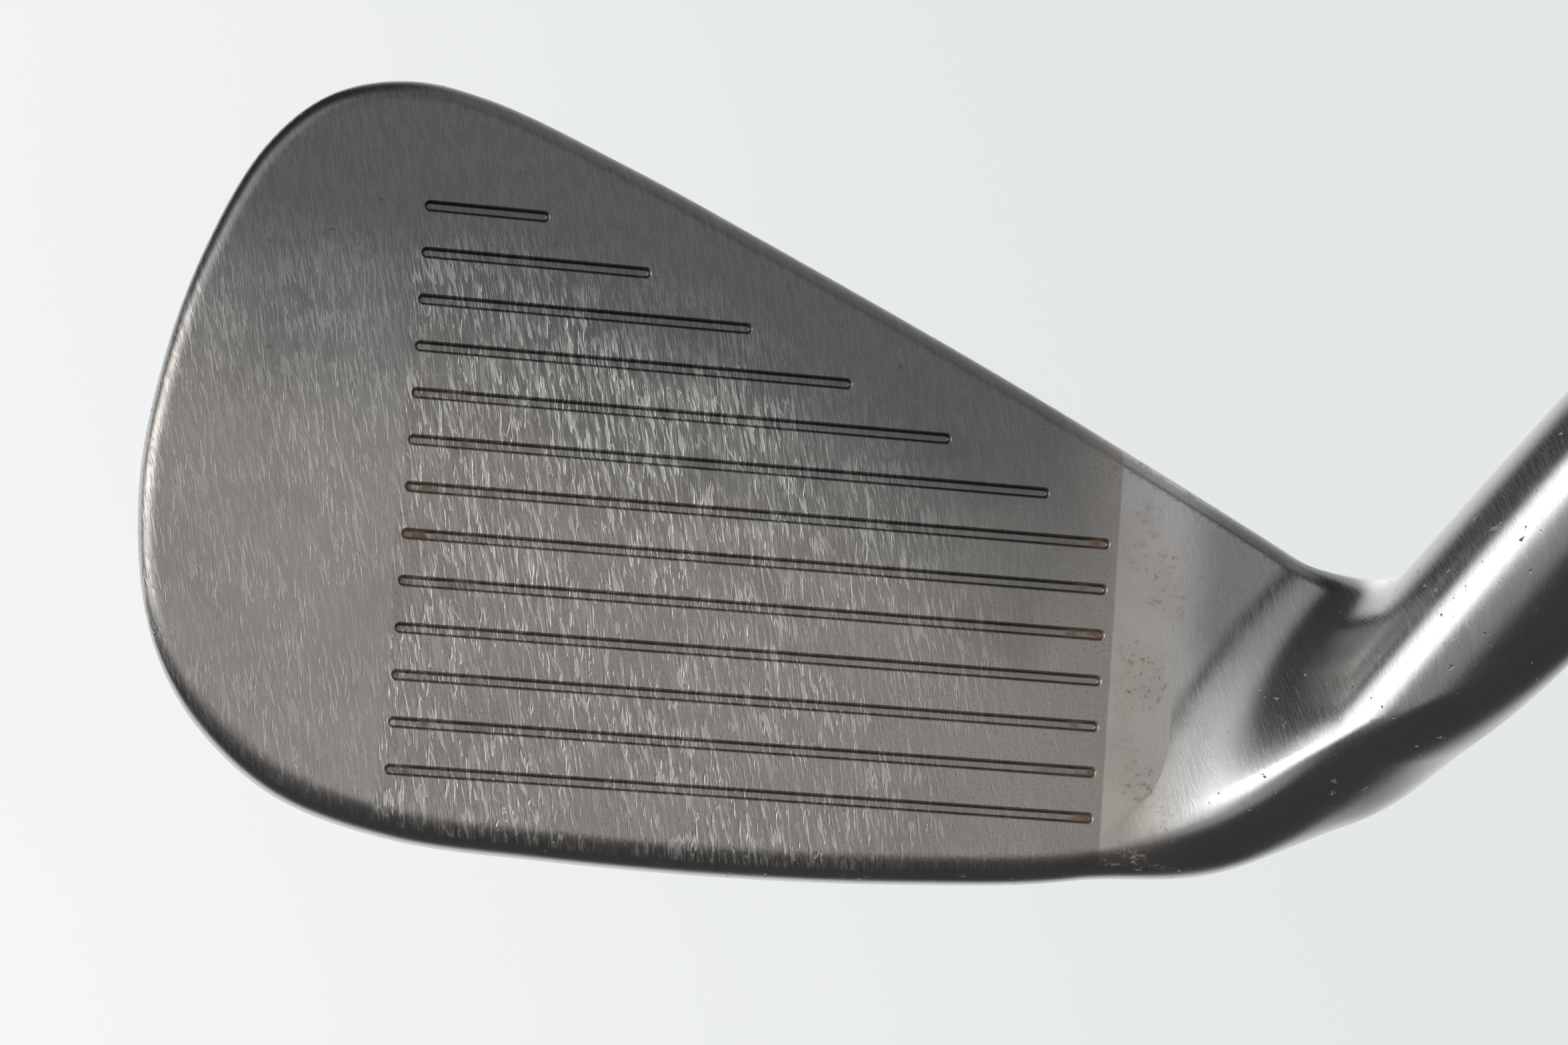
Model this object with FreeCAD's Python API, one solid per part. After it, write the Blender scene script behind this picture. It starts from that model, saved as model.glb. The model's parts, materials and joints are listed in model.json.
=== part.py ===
import FreeCAD, Part
import os
from math import cos, hypot, pi, radians, sin, sqrt, tan
from FreeCAD import Vector

# Iron golf club, right-handed, standing as at address.  Millimetres, +Z up.
# Origin: the ground point under the middle of the score lines, in the shaft's plane.
# +X runs from toe to heel, +Y to the rear; the face looks to -Y and up.

# ---- driving dimensions -------------------------------------------------
LOFT = radians(32.0)              # face angle back from upright
LIE = radians(62.5)               # shaft angle above the ground
CLUB_LENGTH = 940.0               # along the shaft axis, ground to butt
AXIS_X = 40.96                    # where the shaft axis meets the ground

FACE_Y, FACE_Z = -1.5, 9.05       # the lowest score line's middle
FACE_EDGE_R, LEAD_EDGE_R = 1.5, 3.1
TOPLINE_DEPTH = 6.3
MUSCLE_DEPTH = 11.4               # blade depth at the top of the muscle
MUSCLE_SLOPE = 0.4                # depth gained per millimetre down the muscle
MUSCLE_TOP = 21.5                 # up the face
TOE_DRAFT = 0.18
SOLE_CAMBER_R = 25.0
SOLE_LOW_Y = 7.0                  # rearward place of the sole's lowest line
SOLE_LOW_AT = 1.28
HOSEL_R_LOW, HOSEL_R_TOP = 7.6, 6.75
HEEL_SHIFT = 0.8                  # the hosel's foot leans out to the heel
HOSEL_TOP = 66.0                  # along the axis
CROTCH_R, HEEL_R = 8.0, 5.0

# the face's outer line, seen square on: heel-ward, up the face
LOWER_EDGE = [(46.0, 2.3), (37.0, -2.4), (27.0, -5.6), (13.0, -7.0), (0.0, -7.4)]
TOE_AND_TOP = [(-15.0, -7.0), (-27.3, -5.9), (-36.6, -2.6), (-43.1, 3.5),
               (-47.0, 11.0), (-48.4, 19.5), (-47.4, 29.1), (-44.85, 38.3),
               (-40.7, 46.8), (-36.0, 51.2), (-30.0, 52.85), (-23.5, 52.0),
               (-12.0, 47.8), (0.0, 42.65), (22.0, 32.7), (44.0, 21.9),
               (50.5, 18.5), (53.0, 13.0), (51.5, 6.5)]
HEEL_EDGE = [(67.5, 13.8), (56.7, 6.8)]
HOSEL_LIMIT = [(-20.0, -7.0), (-60.0, 30.0), (-60.0, 100.0), (50.0, 140.0),
               (115.0, 110.0), (105.0, 50.0), (90.0, 32.0), (77.0, 21.0)]

GROOVE_COUNT, FULL_GROOVES = 13, 7
GROOVE_PITCH, GROOVE_WIDTH, GROOVE_FLOOR, GROOVE_DEPTH = 3.6, 0.8, 0.34, 0.4
GROOVE_HALF = 28.1                # toe end of every line, heel end of the full ones
TOP_GROOVE_LENGTH, GROOVE_STEP = 9.7, 8.26

PLATE_THICKNESS, PLATE_LEDGE, PLATE_CORNER_R = 2.4, 1.8, 9.0
PLATE = [(34.0, -0.6), (18.0, -2.4), (-22.0, -2.6), (-37.0, -0.2), (-43.6, 8.5),
         (-44.8, 19.5), (-43.8, 30.0), (-41.3, 39.0), (-36.5, 46.6), (-30.0, 49.6),
         (-24.5, 49.0), (34.0, 23.2)]

CAVITY_BACK = 4.2                 # depth of the hollow behind the plate, up the blade
MUSCLE_CAVITY = [(1.5, 2.4), (19.0, 2.4), (19.0, 9.0), (17.0, 10.0), (3.0, 13.2), (1.5, 11.8)]
MUSCLE_CAVITY_S = (-36.3, 16.0)

BADGE_FLOOR, BADGE_TAPE, BADGE_THICKNESS, BADGE_GAP = 5.4, 0.3, 1.0, 0.15
BADGE_CORNER_R = 2.2
BADGE = [(-37.0, 28.8), (12.6, 28.8), (12.6, 31.0), (-23.5, 47.2), (-30.0, 47.2), (-36.0, 40.0)]

WEIGHT_R, WEIGHT_LENGTH = 4.2, 9.0
WEIGHT_S, WEIGHT_T, WEIGHT_D = -42.5, 11.0, 7.5

SCREW_S, SCREW_T = -24.0, 8.0
SCREW_HEAD_R, SCREW_HEAD_H, SCREW_R, SCREW_LENGTH = 4.0, 2.0, 2.5, 4.4
SCREW_SINK, SCREW_CLEARANCE = 0.1, 0.15
WASHER_THICKNESS, WASHER_BORE_R = 0.4, 2.6
HEX_ACROSS, HEX_DEPTH = 3.0, 1.2

BORE_R, BORE_BOTTOM = 4.8, 34.0
CONE_R, CONE_DEPTH = 5.5, 1.5
EPOXY_FLOOR = 0.6

SHAFT_TIP_R, SHAFT_BUTT_R = 4.7, 7.62
SHAFT_TIP_WALL, SHAFT_BUTT_WALL = 0.75, 0.34
SHAFT_STEPS, FIRST_STEP, STEP_PITCH, STEP_RAMP = 11, 220.0, 44.45, 1.6
TIP_WEIGHT_LENGTH, TIP_PLUG_LENGTH = 17.0, 8.0

FERRULE_LENGTH, FERRULE_TOP_R, FERRULE_CURVE = 26.0, 5.15, 1.5
RING_WIDTH, RING_DEPTH = 1.3, 0.8
RING_HEIGHTS = {"ferrule_ring_lower": 5.0, "ferrule_ring_upper": 8.6}

BAND_LOW, BAND_LENGTH, BAND_THICKNESS = 623.5, 37.0, 0.12

GRIP_LENGTH, GRIP_MOUTH_R, GRIP_BUTT_R = 267.0, 9.0, 13.2
GRIP_LIP_R, GRIP_LIP_LENGTH, GRIP_FLARE = 9.5, 3.0, 1.25
TAPE_THICKNESS, TAPE_START = 0.25, 6.0
CAP_LENGTH, CAP_EDGE_R, VENT_R = 3.2, 1.8, 1.5

os.makedirs("parts", exist_ok=True)
NODES = {}


# ---- frames and small helpers --------------------------------------------
def on_face(s, t, d=0.0):
    """A point from face coordinates: heel-ward, up the face, behind the face."""
    return Vector(s,
                  FACE_Y + t * sin(LOFT) + d * cos(LOFT),
                  FACE_Z + t * cos(LOFT) - d * sin(LOFT))


S_DIR = Vector(1, 0, 0)
T_DIR = Vector(0, sin(LOFT), cos(LOFT))
D_DIR = Vector(0, cos(LOFT), -sin(LOFT))
AXIS_DIR = Vector(cos(LIE), 0, sin(LIE))
AXIS_FOOT = Vector(AXIS_X, 0, 0)
TO_AXIS = FreeCAD.Placement(AXIS_FOOT, FreeCAD.Rotation(Vector(0, 1, 0), 90 - LIE * 180 / pi))


def turned(profile):
    """A solid of revolution about the shaft axis from (radius, height) corners."""
    points = [Vector(r, 0, h) for r, h in profile]
    face = Part.Face(Part.makePolygon(points + points[:1]))
    solid = face.revolve(Vector(0, 0, 0), Vector(0, 0, 1), 360)
    solid.Placement = TO_AXIS
    return solid


def rounded(corners, radius, per_corner=5):
    """Corner points replaced by arcs of one radius."""
    result = []
    count = len(corners)
    for i, (x, y) in enumerate(corners):
        ax, ay = corners[i - 1]
        bx, by = corners[(i + 1) % count]
        ua, ub = Vector(ax - x, ay - y, 0), Vector(bx - x, by - y, 0)
        la, lb = ua.Length, ub.Length
        ua.normalize()
        ub.normalize()
        half = ua.getAngle(ub) / 2
        reach = min(radius / tan(half), 0.45 * la, 0.45 * lb)
        r = reach * tan(half)
        centre = Vector(x, y, 0) + (ua + ub).normalize() * (r / sin(half))
        start, end = Vector(x, y, 0) + ua * reach - centre, Vector(x, y, 0) + ub * reach - centre
        turn = start.getAngle(end)
        for j in range(per_corner + 1):
            f = j / per_corner
            p = centre + (start * sin((1 - f) * turn) + end * sin(f * turn)) * (1 / sin(turn))
            result.append((p.x, p.y))
    return result


def keep(name, shape):
    """Store a node after checking that it is sound."""
    solids = shape.Solids
    assert solids and shape.isValid(), name
    shape = solids[0] if len(solids) == 1 else Part.makeCompound(solids)
    NODES[name] = shape
    shape.exportStep("parts/%s.step" % name)
    print("%-20s %9.1f mm3, solids %d" % (name, shape.Volume, len(solids)))


# ---- the head's outer form ---------------------------------------------------
def closed_curve(points):
    curve = Part.BSplineCurve()
    curve.interpolate(Points=[Vector(x, y, 0) for x, y in points], PeriodicFlag=True)
    return curve


OUTLINE = closed_curve(LOWER_EDGE + TOE_AND_TOP)
LIMIT = closed_curve(HEEL_EDGE + LOWER_EDGE + HOSEL_LIMIT)


def outside(curve, s, t):
    """Signed distance to a closed curve that runs clockwise, negative within."""
    point = Vector(s, t, 0)
    parameter = curve.parameter(point)
    away = point - curve.value(parameter)
    side = curve.tangent(parameter)[0].cross(away).z
    return away.Length if side > 0 else -away.Length


def both(a, b, r):
    return min(max(a, b), -r) + hypot(max(a + r, 0), max(b + r, 0))


def either(a, b, r):
    return max(min(a, b), r) - hypot(max(r - a, 0), max(r - b, 0))


def ease(x, a, b):
    f = min(max((x - a) / (b - a), 0.0), 1.0)
    return f * f * (3 - 2 * f)


def back_depth(s, t):
    """Depth of the blade behind the face: a thin top and a muscle low down."""
    top = TOPLINE_DEPTH - 0.012 * (t - 30)
    muscle = MUSCLE_DEPTH + MUSCLE_SLOPE * (20 - t)
    spread = (1 - 0.75 * ease(s, 14, 46)) * (1 - 0.12 * ease(-s, 26, 50))
    ridge = MUSCLE_TOP - 0.05 * s
    return top + (muscle - top) * spread * (1 - ease(t, ridge - 1.5, ridge + 5.5))


def head_form(p):
    """Signed measure of the head's outer form, negative within."""
    dy, dz = p.y - FACE_Y, p.z - FACE_Z
    s, t, d = p.x, dy * sin(LOFT) + dz * cos(LOFT), dy * cos(LOFT) - dz * sin(LOFT)
    low = 1 - ease(t, 2, 24)
    inner = 1.5 + 0.5 * ((d - 1.5) + hypot(d - 1.5, 2.0))
    camber = SOLE_LOW_AT - (p.y - SOLE_LOW_Y) ** 2 / (2 * SOLE_CAMBER_R)
    t_sole = t + low * ((3 - inner) * tan(LOFT) + camber / cos(LOFT))
    s_toe = s - TOE_DRAFT * d * ease(-s, 12, 44)
    front_r = FACE_EDGE_R + (LEAD_EDGE_R - FACE_EDGE_R) * (1 - ease(t, -2, 12))
    blade = both(-d, outside(OUTLINE, s_toe, t_sole), front_r)
    blade = both(blade, d - back_depth(s, t), 1.8 + 1.0 * (1 - ease(t, 2, 18)))
    along = (p.x - AXIS_X) * cos(LIE) + p.z * sin(LIE)
    side = (p.x - AXIS_X) * sin(LIE) - p.z * cos(LIE)
    across = hypot(side - HEEL_SHIFT * (1 - ease(along, 18, 52)), p.y)
    radius = HOSEL_R_LOW + (HOSEL_R_TOP - HOSEL_R_LOW) * ease(along, 20, 60)
    hosel = both(across - radius, outside(LIMIT, s, t_sole), HEEL_R)
    return either(blade, hosel, CROTCH_R)


def surface_point(centre, direction, reach):
    """Where a ray from inside leaves the head, by the Illinois method."""
    a, fa = 0.0, head_form(centre)
    b, fb = reach, head_form(centre + direction * reach)
    for _ in range(40):
        c = (a * fb - b * fa) / (fb - fa)
        fc = head_form(centre + direction * c)
        if abs(fc) < 0.002:
            break
        if fa * fc > 0:
            a, fa, fb = c, fc, fb * 0.5
        else:
            b, fb, fa = c, fc, fa * 0.5
    return centre + direction * c


# ---- head ----------------------------------------------------------------------
FAN_X, FAN_Z = 47.0, 36.0         # the line that the heel's sections turn about
BLEND_FROM = 26.0                 # where the sections start to lean to the hosel's centre
RAYS = 88


def section(centre, up, rear, up_reach, rear_reach):
    """Points round the head in one plane, spread by the section's own proportions."""
    ring = []
    for i in range(RAYS):
        turn = 2 * pi * i / RAYS - pi / 2
        ray = up * (up_reach * cos(turn)) + rear * (rear_reach * sin(turn))
        ring.append(surface_point(centre, ray.normalize(), 60.0))
    return ring + ring[:1]


def deepest(s, t, d):
    """The innermost point of the plane at s, found by shrinking steps."""
    step = 1.0
    best = head_form(on_face(s, t, d))
    while step > 0.01:
        trials = [(head_form(on_face(s, a, b)), a, b)
                  for a, b in ((t + step, d), (t - step, d), (t, d + step), (t, d - step))]
        value, a, b = min(trials)
        if value < best:
            best, t, d = value, a, b
        else:
            step /= 2
    return t, d


def head_sections():
    """Rings from the toe along the blade, round the crotch and up the hosel."""
    toe_t, toe_d = deepest(-47.5, 19.5, 2.2)
    toe_end = surface_point(on_face(-44.0, toe_t, toe_d), Vector(-1, 0, 0), 30.0).x
    toe_steps = [0.06, 0.3, 0.8, 1.6, 2.8, 4.4, 6.6, 9.6, 13.5, 18.5]
    stations = [toe_end + step for step in toe_steps] + [-22.0, -14.0, -6.0, 2.0, 10.0, 17.0]
    stations += [22.0, 26.0, 30.0, 34.0, 38.0, 41.5, 44.5, FAN_X]
    low_centre = Vector(FAN_X, 0.5, 14.0)
    rings = []
    for s in stations:
        lean = ease(s, BLEND_FROM, FAN_X)
        t_middle = 19.5 + (s + 46) * (-0.13)
        blend = ease(s, toe_end, -38.0)
        t_blade = toe_t + (t_middle - toe_t) * blend
        blade_centre = on_face(s, t_blade, toe_d + (4.4 - toe_d) * blend)
        centre = blade_centre * (1 - lean) + low_centre * lean
        centre.x = s
        tilt = LOFT * (1 - lean)
        up, rear = Vector(0, sin(tilt), cos(tilt)), Vector(0, cos(tilt), -sin(tilt))
        height = 4.0 + 19.0 * ease(s, toe_end - 1, -34.0)
        rings.append(section(centre, up, rear, height * (1 - lean) + 9 * lean, 4 + 3 * lean))
    turns = 7
    for i in range(1, turns + 1):
        swing = LIE * i / turns
        normal = Vector(cos(swing), 0, sin(swing))
        up = Vector(-sin(swing), 0, cos(swing))
        reach = (AXIS_DIR.dot(normal))
        along = (Vector(FAN_X, 0, FAN_Z) - AXIS_FOOT).dot(normal) / reach
        on_axis = AXIS_FOOT + AXIS_DIR * along
        share = i / turns
        centre = on_axis + (Vector(0, 0.5, 0) + up * 1.0) * (1 - share)
        rings.append(section(centre, up, Vector(0, 1, 0), 9 - 2 * share, 7))
    up = Vector(-sin(LIE), 0, cos(LIE))
    start = (Vector(FAN_X, 0, FAN_Z) - AXIS_FOOT).dot(AXIS_DIR)
    for along in (start + 3, 42.0, 48.0, 54.0, 60.0, HOSEL_TOP):
        rings.append(section(AXIS_FOOT + AXIS_DIR * along, up, Vector(0, 1, 0), 7, 7))
    return rings


def head_skin():
    """The head's outer form as one skinned surface with a flat cap at each end."""
    rings = head_sections()
    surface = Part.BSplineSurface()
    surface.interpolate(rings)
    for row, point, normal in ((1, rings[0][0], S_DIR), (surface.NbUPoles, rings[-1][0], AXIS_DIR)):
        for column in range(1, surface.NbVPoles + 1):
            pole = surface.getPole(row, column)
            surface.setPole(row, column, pole - normal * (pole - point).dot(normal))
    skin = surface.toShape()
    caps = [Part.Face(Part.Wire([edge])) for edge in skin.Edges if edge.isClosed()]
    shell = Part.Shell([skin] + caps)
    shell.sewShape()
    return Part.Solid(shell)


def groove_cutters():
    """Score lines: flat-bottomed channels with round ends."""
    top, floor = GROOVE_WIDTH / 2, GROOVE_FLOOR / 2
    cutters = []
    for i in range(GROOVE_COUNT):
        t = i * GROOVE_PITCH
        above = GROOVE_COUNT - 1 - i
        length = min(TOP_GROOVE_LENGTH + above * GROOVE_STEP, 2 * GROOVE_HALF)
        start, end = -GROOVE_HALF + top, -GROOVE_HALF + length - top
        corners = [(t - top, 0.0), (t - floor, GROOVE_DEPTH), (t + floor, GROOVE_DEPTH), (t + top, 0.0)]
        wire = Part.makePolygon([on_face(start, a, d) for a, d in corners + corners[:1]])
        channel = Part.Face(wire).extrude(S_DIR * (end - start))
        ends = [Part.makeCone(top, floor, GROOVE_DEPTH, on_face(s, t), D_DIR) for s in (start, end)]
        cutters.append(channel.fuse(ends))
    return cutters


def outline_face(corners, depth, grow=0.0):
    """A face of a flat outline at one depth, offset by grow."""
    wire = Part.makePolygon([on_face(s, t, depth) for s, t in corners + corners[:1]])
    face = Part.Face(wire)
    return face.makeOffset2D(grow, 2) if grow else face


def slab(corners, depth_from, depth_to, grow=0.0):
    return outline_face(corners, depth_from, grow).extrude(D_DIR * (depth_to - depth_from))


def muscle_cavity():
    start, end = MUSCLE_CAVITY_S
    wire = Part.makePolygon([on_face(start, t, d) for t, d in MUSCLE_CAVITY + MUSCLE_CAVITY[:1]])
    return Part.Face(wire).extrude(S_DIR * (end - start))


SCREW_AXIS = (T_DIR * MUSCLE_SLOPE + D_DIR).normalize()
SCREW_SEAT = on_face(SCREW_S, SCREW_T, back_depth(SCREW_S, SCREW_T))


def along_screw(radius, start, end):
    """A cylinder on the port screw's axis between two heights over the muscle's face."""
    return Part.makeCylinder(radius, end - start, SCREW_SEAT + SCREW_AXIS * start, SCREW_AXIS)


def hex_socket(across, depth, top):
    corners = [Vector(across / sqrt(3) * cos(pi / 3 * i), across / sqrt(3) * sin(pi / 3 * i), 0)
               for i in range(7)]
    socket = Part.Face(Part.makePolygon(corners)).extrude(Vector(0, 0, depth))
    turn = FreeCAD.Rotation(Vector(0, 0, 1), SCREW_AXIS)
    socket.Placement = FreeCAD.Placement(SCREW_SEAT + SCREW_AXIS * (top - depth), turn)
    return socket


def make_head():
    """The forged body with its face plate, filling, weight, port screw and badge."""
    plate_outline = rounded(PLATE, PLATE_CORNER_R)
    badge_outline = rounded(BADGE, BADGE_CORNER_R)
    blade_cavity = slab(plate_outline, PLATE_THICKNESS, CAVITY_BACK, -PLATE_LEDGE)
    cavity = blade_cavity.fuse(muscle_cavity()).removeSplitter()
    weight = Part.makeCylinder(WEIGHT_R, WEIGHT_LENGTH, on_face(WEIGHT_S, WEIGHT_T, WEIGHT_D), S_DIR)

    washer_top = -SCREW_SINK - SCREW_HEAD_H
    seat = washer_top - WASHER_THICKNESS
    shank_end = washer_top - SCREW_LENGTH
    shank = along_screw(SCREW_R, shank_end, washer_top)
    counterbore = along_screw(SCREW_HEAD_R + SCREW_CLEARANCE, seat, SCREW_HEAD_H)

    bore = turned([(0, BORE_BOTTOM), (BORE_R, BORE_BOTTOM), (BORE_R, HOSEL_TOP - CONE_DEPTH),
                   (CONE_R, HOSEL_TOP), (CONE_R, HOSEL_TOP + 1), (0, HOSEL_TOP + 1)])
    plate_pocket = slab(plate_outline, -1.0, PLATE_THICKNESS)
    badge_pocket = slab(badge_outline, BADGE_FLOOR, TOPLINE_DEPTH + 2, BADGE_GAP)
    body = head_skin().cut([plate_pocket, cavity, weight, shank, counterbore, bore, badge_pocket])
    keep("head_body", body)

    plate = slab(plate_outline, 0.0, PLATE_THICKNESS).cut(groove_cutters())
    keep("face_plate", plate)
    keep("core_foam", cavity.cut([weight, shank]))
    keep("toe_weight", weight)
    head = along_screw(SCREW_HEAD_R, washer_top, -SCREW_SINK)
    screw = head.fuse(shank).cut(hex_socket(HEX_ACROSS, HEX_DEPTH, -SCREW_SINK))
    keep("port_screw", screw.removeSplitter())
    washer = along_screw(SCREW_HEAD_R, seat, washer_top).cut(along_screw(WASHER_BORE_R, seat, washer_top))
    keep("port_washer", washer)
    tape_top = BADGE_FLOOR + BADGE_TAPE
    keep("badge_tape", slab(badge_outline, BADGE_FLOOR, tape_top, -2 * BADGE_GAP))
    keep("back_badge", slab(badge_outline, tape_top, tape_top + BADGE_THICKNESS))


# ---- shaft ------------------------------------------------------------------------
TIP_END = BORE_BOTTOM + EPOXY_FLOOR
SHAFT_TOP = CLUB_LENGTH - CAP_LENGTH


def shaft_profile():
    """Outer corners of the stepped tube, tip to butt."""
    corners = [(SHAFT_TIP_R, TIP_END)]
    rise = (SHAFT_BUTT_R - SHAFT_TIP_R) / SHAFT_STEPS
    for i in range(SHAFT_STEPS):
        height = FIRST_STEP + i * STEP_PITCH
        corners.append((SHAFT_TIP_R + i * rise, height - STEP_RAMP / 2))
        corners.append((SHAFT_TIP_R + (i + 1) * rise, height + STEP_RAMP / 2))
    return corners + [(SHAFT_BUTT_R, SHAFT_TOP)]


def wall_at(radius):
    share = (radius - SHAFT_TIP_R) / (SHAFT_BUTT_R - SHAFT_TIP_R)
    return SHAFT_TIP_WALL + (SHAFT_BUTT_WALL - SHAFT_TIP_WALL) * share


def shaft_radius(height):
    steps = sum(1 for i in range(SHAFT_STEPS) if height > FIRST_STEP + i * STEP_PITCH)
    return SHAFT_TIP_R + (SHAFT_BUTT_R - SHAFT_TIP_R) / SHAFT_STEPS * steps


def make_shaft():
    """The stepped tube, what is in its tip, its bond to the hosel and its plain band."""
    outer = shaft_profile()
    inner = [(r - wall_at(r), h) for r, h in reversed(outer)]
    keep("shaft", turned(outer + inner))
    bore = SHAFT_TIP_R - SHAFT_TIP_WALL
    plug_start = TIP_END + TIP_WEIGHT_LENGTH
    plug_end = plug_start + TIP_PLUG_LENGTH
    keep("tip_weight", turned([(0, TIP_END), (bore, TIP_END), (bore, plug_start), (0, plug_start)]))
    keep("tip_plug", turned([(0, plug_start), (bore, plug_start), (bore, plug_end), (0, plug_end)]))
    keep("hosel_epoxy", turned([(0, BORE_BOTTOM), (BORE_R, BORE_BOTTOM),
                                (BORE_R, HOSEL_TOP - CONE_DEPTH), (CONE_R, HOSEL_TOP),
                                (SHAFT_TIP_R, HOSEL_TOP), (SHAFT_TIP_R, TIP_END), (0, TIP_END)]))
    inside = shaft_radius(BAND_LOW)
    band_top = BAND_LOW + BAND_LENGTH
    over = inside + BAND_THICKNESS
    keep("shaft_band", turned([(inside, BAND_LOW), (over, BAND_LOW), (over, band_top), (inside, band_top)]))


# ---- ferrule ------------------------------------------------------------------------
def ferrule_radius(height):
    left = 1 - height / FERRULE_LENGTH
    return FERRULE_TOP_R + (HOSEL_R_TOP - FERRULE_TOP_R) * left ** FERRULE_CURVE


def make_ferrule():
    """The tapered collar over the hosel's mouth, with two thin trim rings let in."""
    spans = 16
    heights = [FERRULE_LENGTH * i / spans for i in range(spans + 1)]
    outer = [(ferrule_radius(h), HOSEL_TOP + h) for h in heights]
    bore = [(SHAFT_TIP_R, HOSEL_TOP + FERRULE_LENGTH), (SHAFT_TIP_R, HOSEL_TOP)]
    blank = turned(outer + bore)
    rings = {}
    for name, height in RING_HEIGHTS.items():
        low, high = HOSEL_TOP + height, HOSEL_TOP + height + RING_WIDTH
        seat = ferrule_radius(height) - RING_DEPTH
        clear = HOSEL_R_TOP + 1
        rings[name] = blank.common(turned([(seat, low), (clear, low), (clear, high), (seat, high)]))
    keep("ferrule", blank.cut(list(rings.values())))
    for name, ring in rings.items():
        keep(name, ring)


# ---- grip ---------------------------------------------------------------------------
GRIP_MOUTH = CLUB_LENGTH - GRIP_LENGTH


def grip_radius(height):
    share = (height - GRIP_MOUTH) / (SHAFT_TOP - GRIP_MOUTH)
    return GRIP_MOUTH_R + (GRIP_BUTT_R - GRIP_MOUTH_R) * share ** GRIP_FLARE


def make_grip():
    """Tape on the shaft, the rubber sleeve over it and the butt cap with its vent."""
    tape_low, tape_r = GRIP_MOUTH + TAPE_START, SHAFT_BUTT_R + TAPE_THICKNESS
    keep("grip_tape", turned([(SHAFT_BUTT_R, tape_low), (tape_r, tape_low),
                              (tape_r, SHAFT_TOP), (SHAFT_BUTT_R, SHAFT_TOP)]))
    spans = 12
    body_low = GRIP_MOUTH + 2 * GRIP_LIP_LENGTH
    heights = [body_low + (SHAFT_TOP - body_low) * i / spans for i in range(spans + 1)]
    outer = [(GRIP_LIP_R - 0.6, GRIP_MOUTH), (GRIP_LIP_R, GRIP_MOUTH + 0.6),
             (GRIP_LIP_R, GRIP_MOUTH + GRIP_LIP_LENGTH)]
    outer += [(grip_radius(h), h) for h in heights]
    inner = [(tape_r, SHAFT_TOP), (tape_r, tape_low), (SHAFT_BUTT_R, tape_low), (SHAFT_BUTT_R, GRIP_MOUTH)]
    keep("grip_sleeve", turned(outer + inner))
    cap = turned([(VENT_R, SHAFT_TOP), (GRIP_BUTT_R, SHAFT_TOP),
                  (GRIP_BUTT_R, CLUB_LENGTH - CAP_EDGE_R),
                  (GRIP_BUTT_R - 0.3 * CAP_EDGE_R, CLUB_LENGTH - 0.3 * CAP_EDGE_R),
                  (GRIP_BUTT_R - CAP_EDGE_R, CLUB_LENGTH), (VENT_R, CLUB_LENGTH)])
    keep("grip_cap", cap)


make_head()
make_shaft()
make_ferrule()
make_grip()
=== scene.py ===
import json
from math import cos, pi, radians, sin, tan

import bpy
import bmesh
import numpy as np
from mathutils import Matrix, Vector

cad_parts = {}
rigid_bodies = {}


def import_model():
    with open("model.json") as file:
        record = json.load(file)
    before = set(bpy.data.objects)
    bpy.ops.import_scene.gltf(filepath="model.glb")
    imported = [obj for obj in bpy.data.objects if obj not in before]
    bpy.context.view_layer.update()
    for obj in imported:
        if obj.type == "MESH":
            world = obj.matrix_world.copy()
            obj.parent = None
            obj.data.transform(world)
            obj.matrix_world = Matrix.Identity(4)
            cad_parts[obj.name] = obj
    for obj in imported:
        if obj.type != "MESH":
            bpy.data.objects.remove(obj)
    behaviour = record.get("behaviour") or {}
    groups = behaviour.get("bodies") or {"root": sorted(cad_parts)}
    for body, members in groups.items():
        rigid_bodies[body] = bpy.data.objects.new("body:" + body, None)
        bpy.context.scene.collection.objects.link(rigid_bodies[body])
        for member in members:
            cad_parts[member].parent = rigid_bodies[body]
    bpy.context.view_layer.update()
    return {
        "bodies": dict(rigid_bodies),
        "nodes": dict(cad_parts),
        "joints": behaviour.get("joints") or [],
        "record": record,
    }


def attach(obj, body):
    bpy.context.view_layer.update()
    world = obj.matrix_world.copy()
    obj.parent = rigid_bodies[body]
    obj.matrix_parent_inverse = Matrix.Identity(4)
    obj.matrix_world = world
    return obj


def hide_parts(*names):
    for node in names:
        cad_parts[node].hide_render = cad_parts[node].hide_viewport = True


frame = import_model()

MM = 0.001

# ---- The club's driving dimensions, in millimetres, as in the part's source ----
LOFT, LIE = radians(32.0), radians(62.5)
AXIS_X = 40.96
CLUB_LENGTH = 940.0
FACE_Y, FACE_Z = -1.5, 9.05
FACE_EDGE_R, LEAD_EDGE_R = 1.5, 3.1
TOPLINE_DEPTH = 6.3
MUSCLE_DEPTH, MUSCLE_SLOPE, MUSCLE_TOP = 11.4, 0.4, 21.5
TOE_DRAFT = 0.18
SOLE_CAMBER_R, SOLE_LOW_Y, SOLE_LOW_AT = 25.0, 7.0, 1.28
HOSEL_R_LOW, HOSEL_R_TOP, HOSEL_TOP = 7.6, 6.75, 66.0
HEEL_SHIFT = 0.8                  # the hosel's foot leans out to the heel
CROTCH_R, HEEL_R = 8.0, 5.0
BORE_R, BORE_BOTTOM, CONE_R, CONE_DEPTH = 4.8, 34.0, 5.5, 1.5
SPARE = 3.0                       # skin made past the hosel's top, then cut off square

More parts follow.
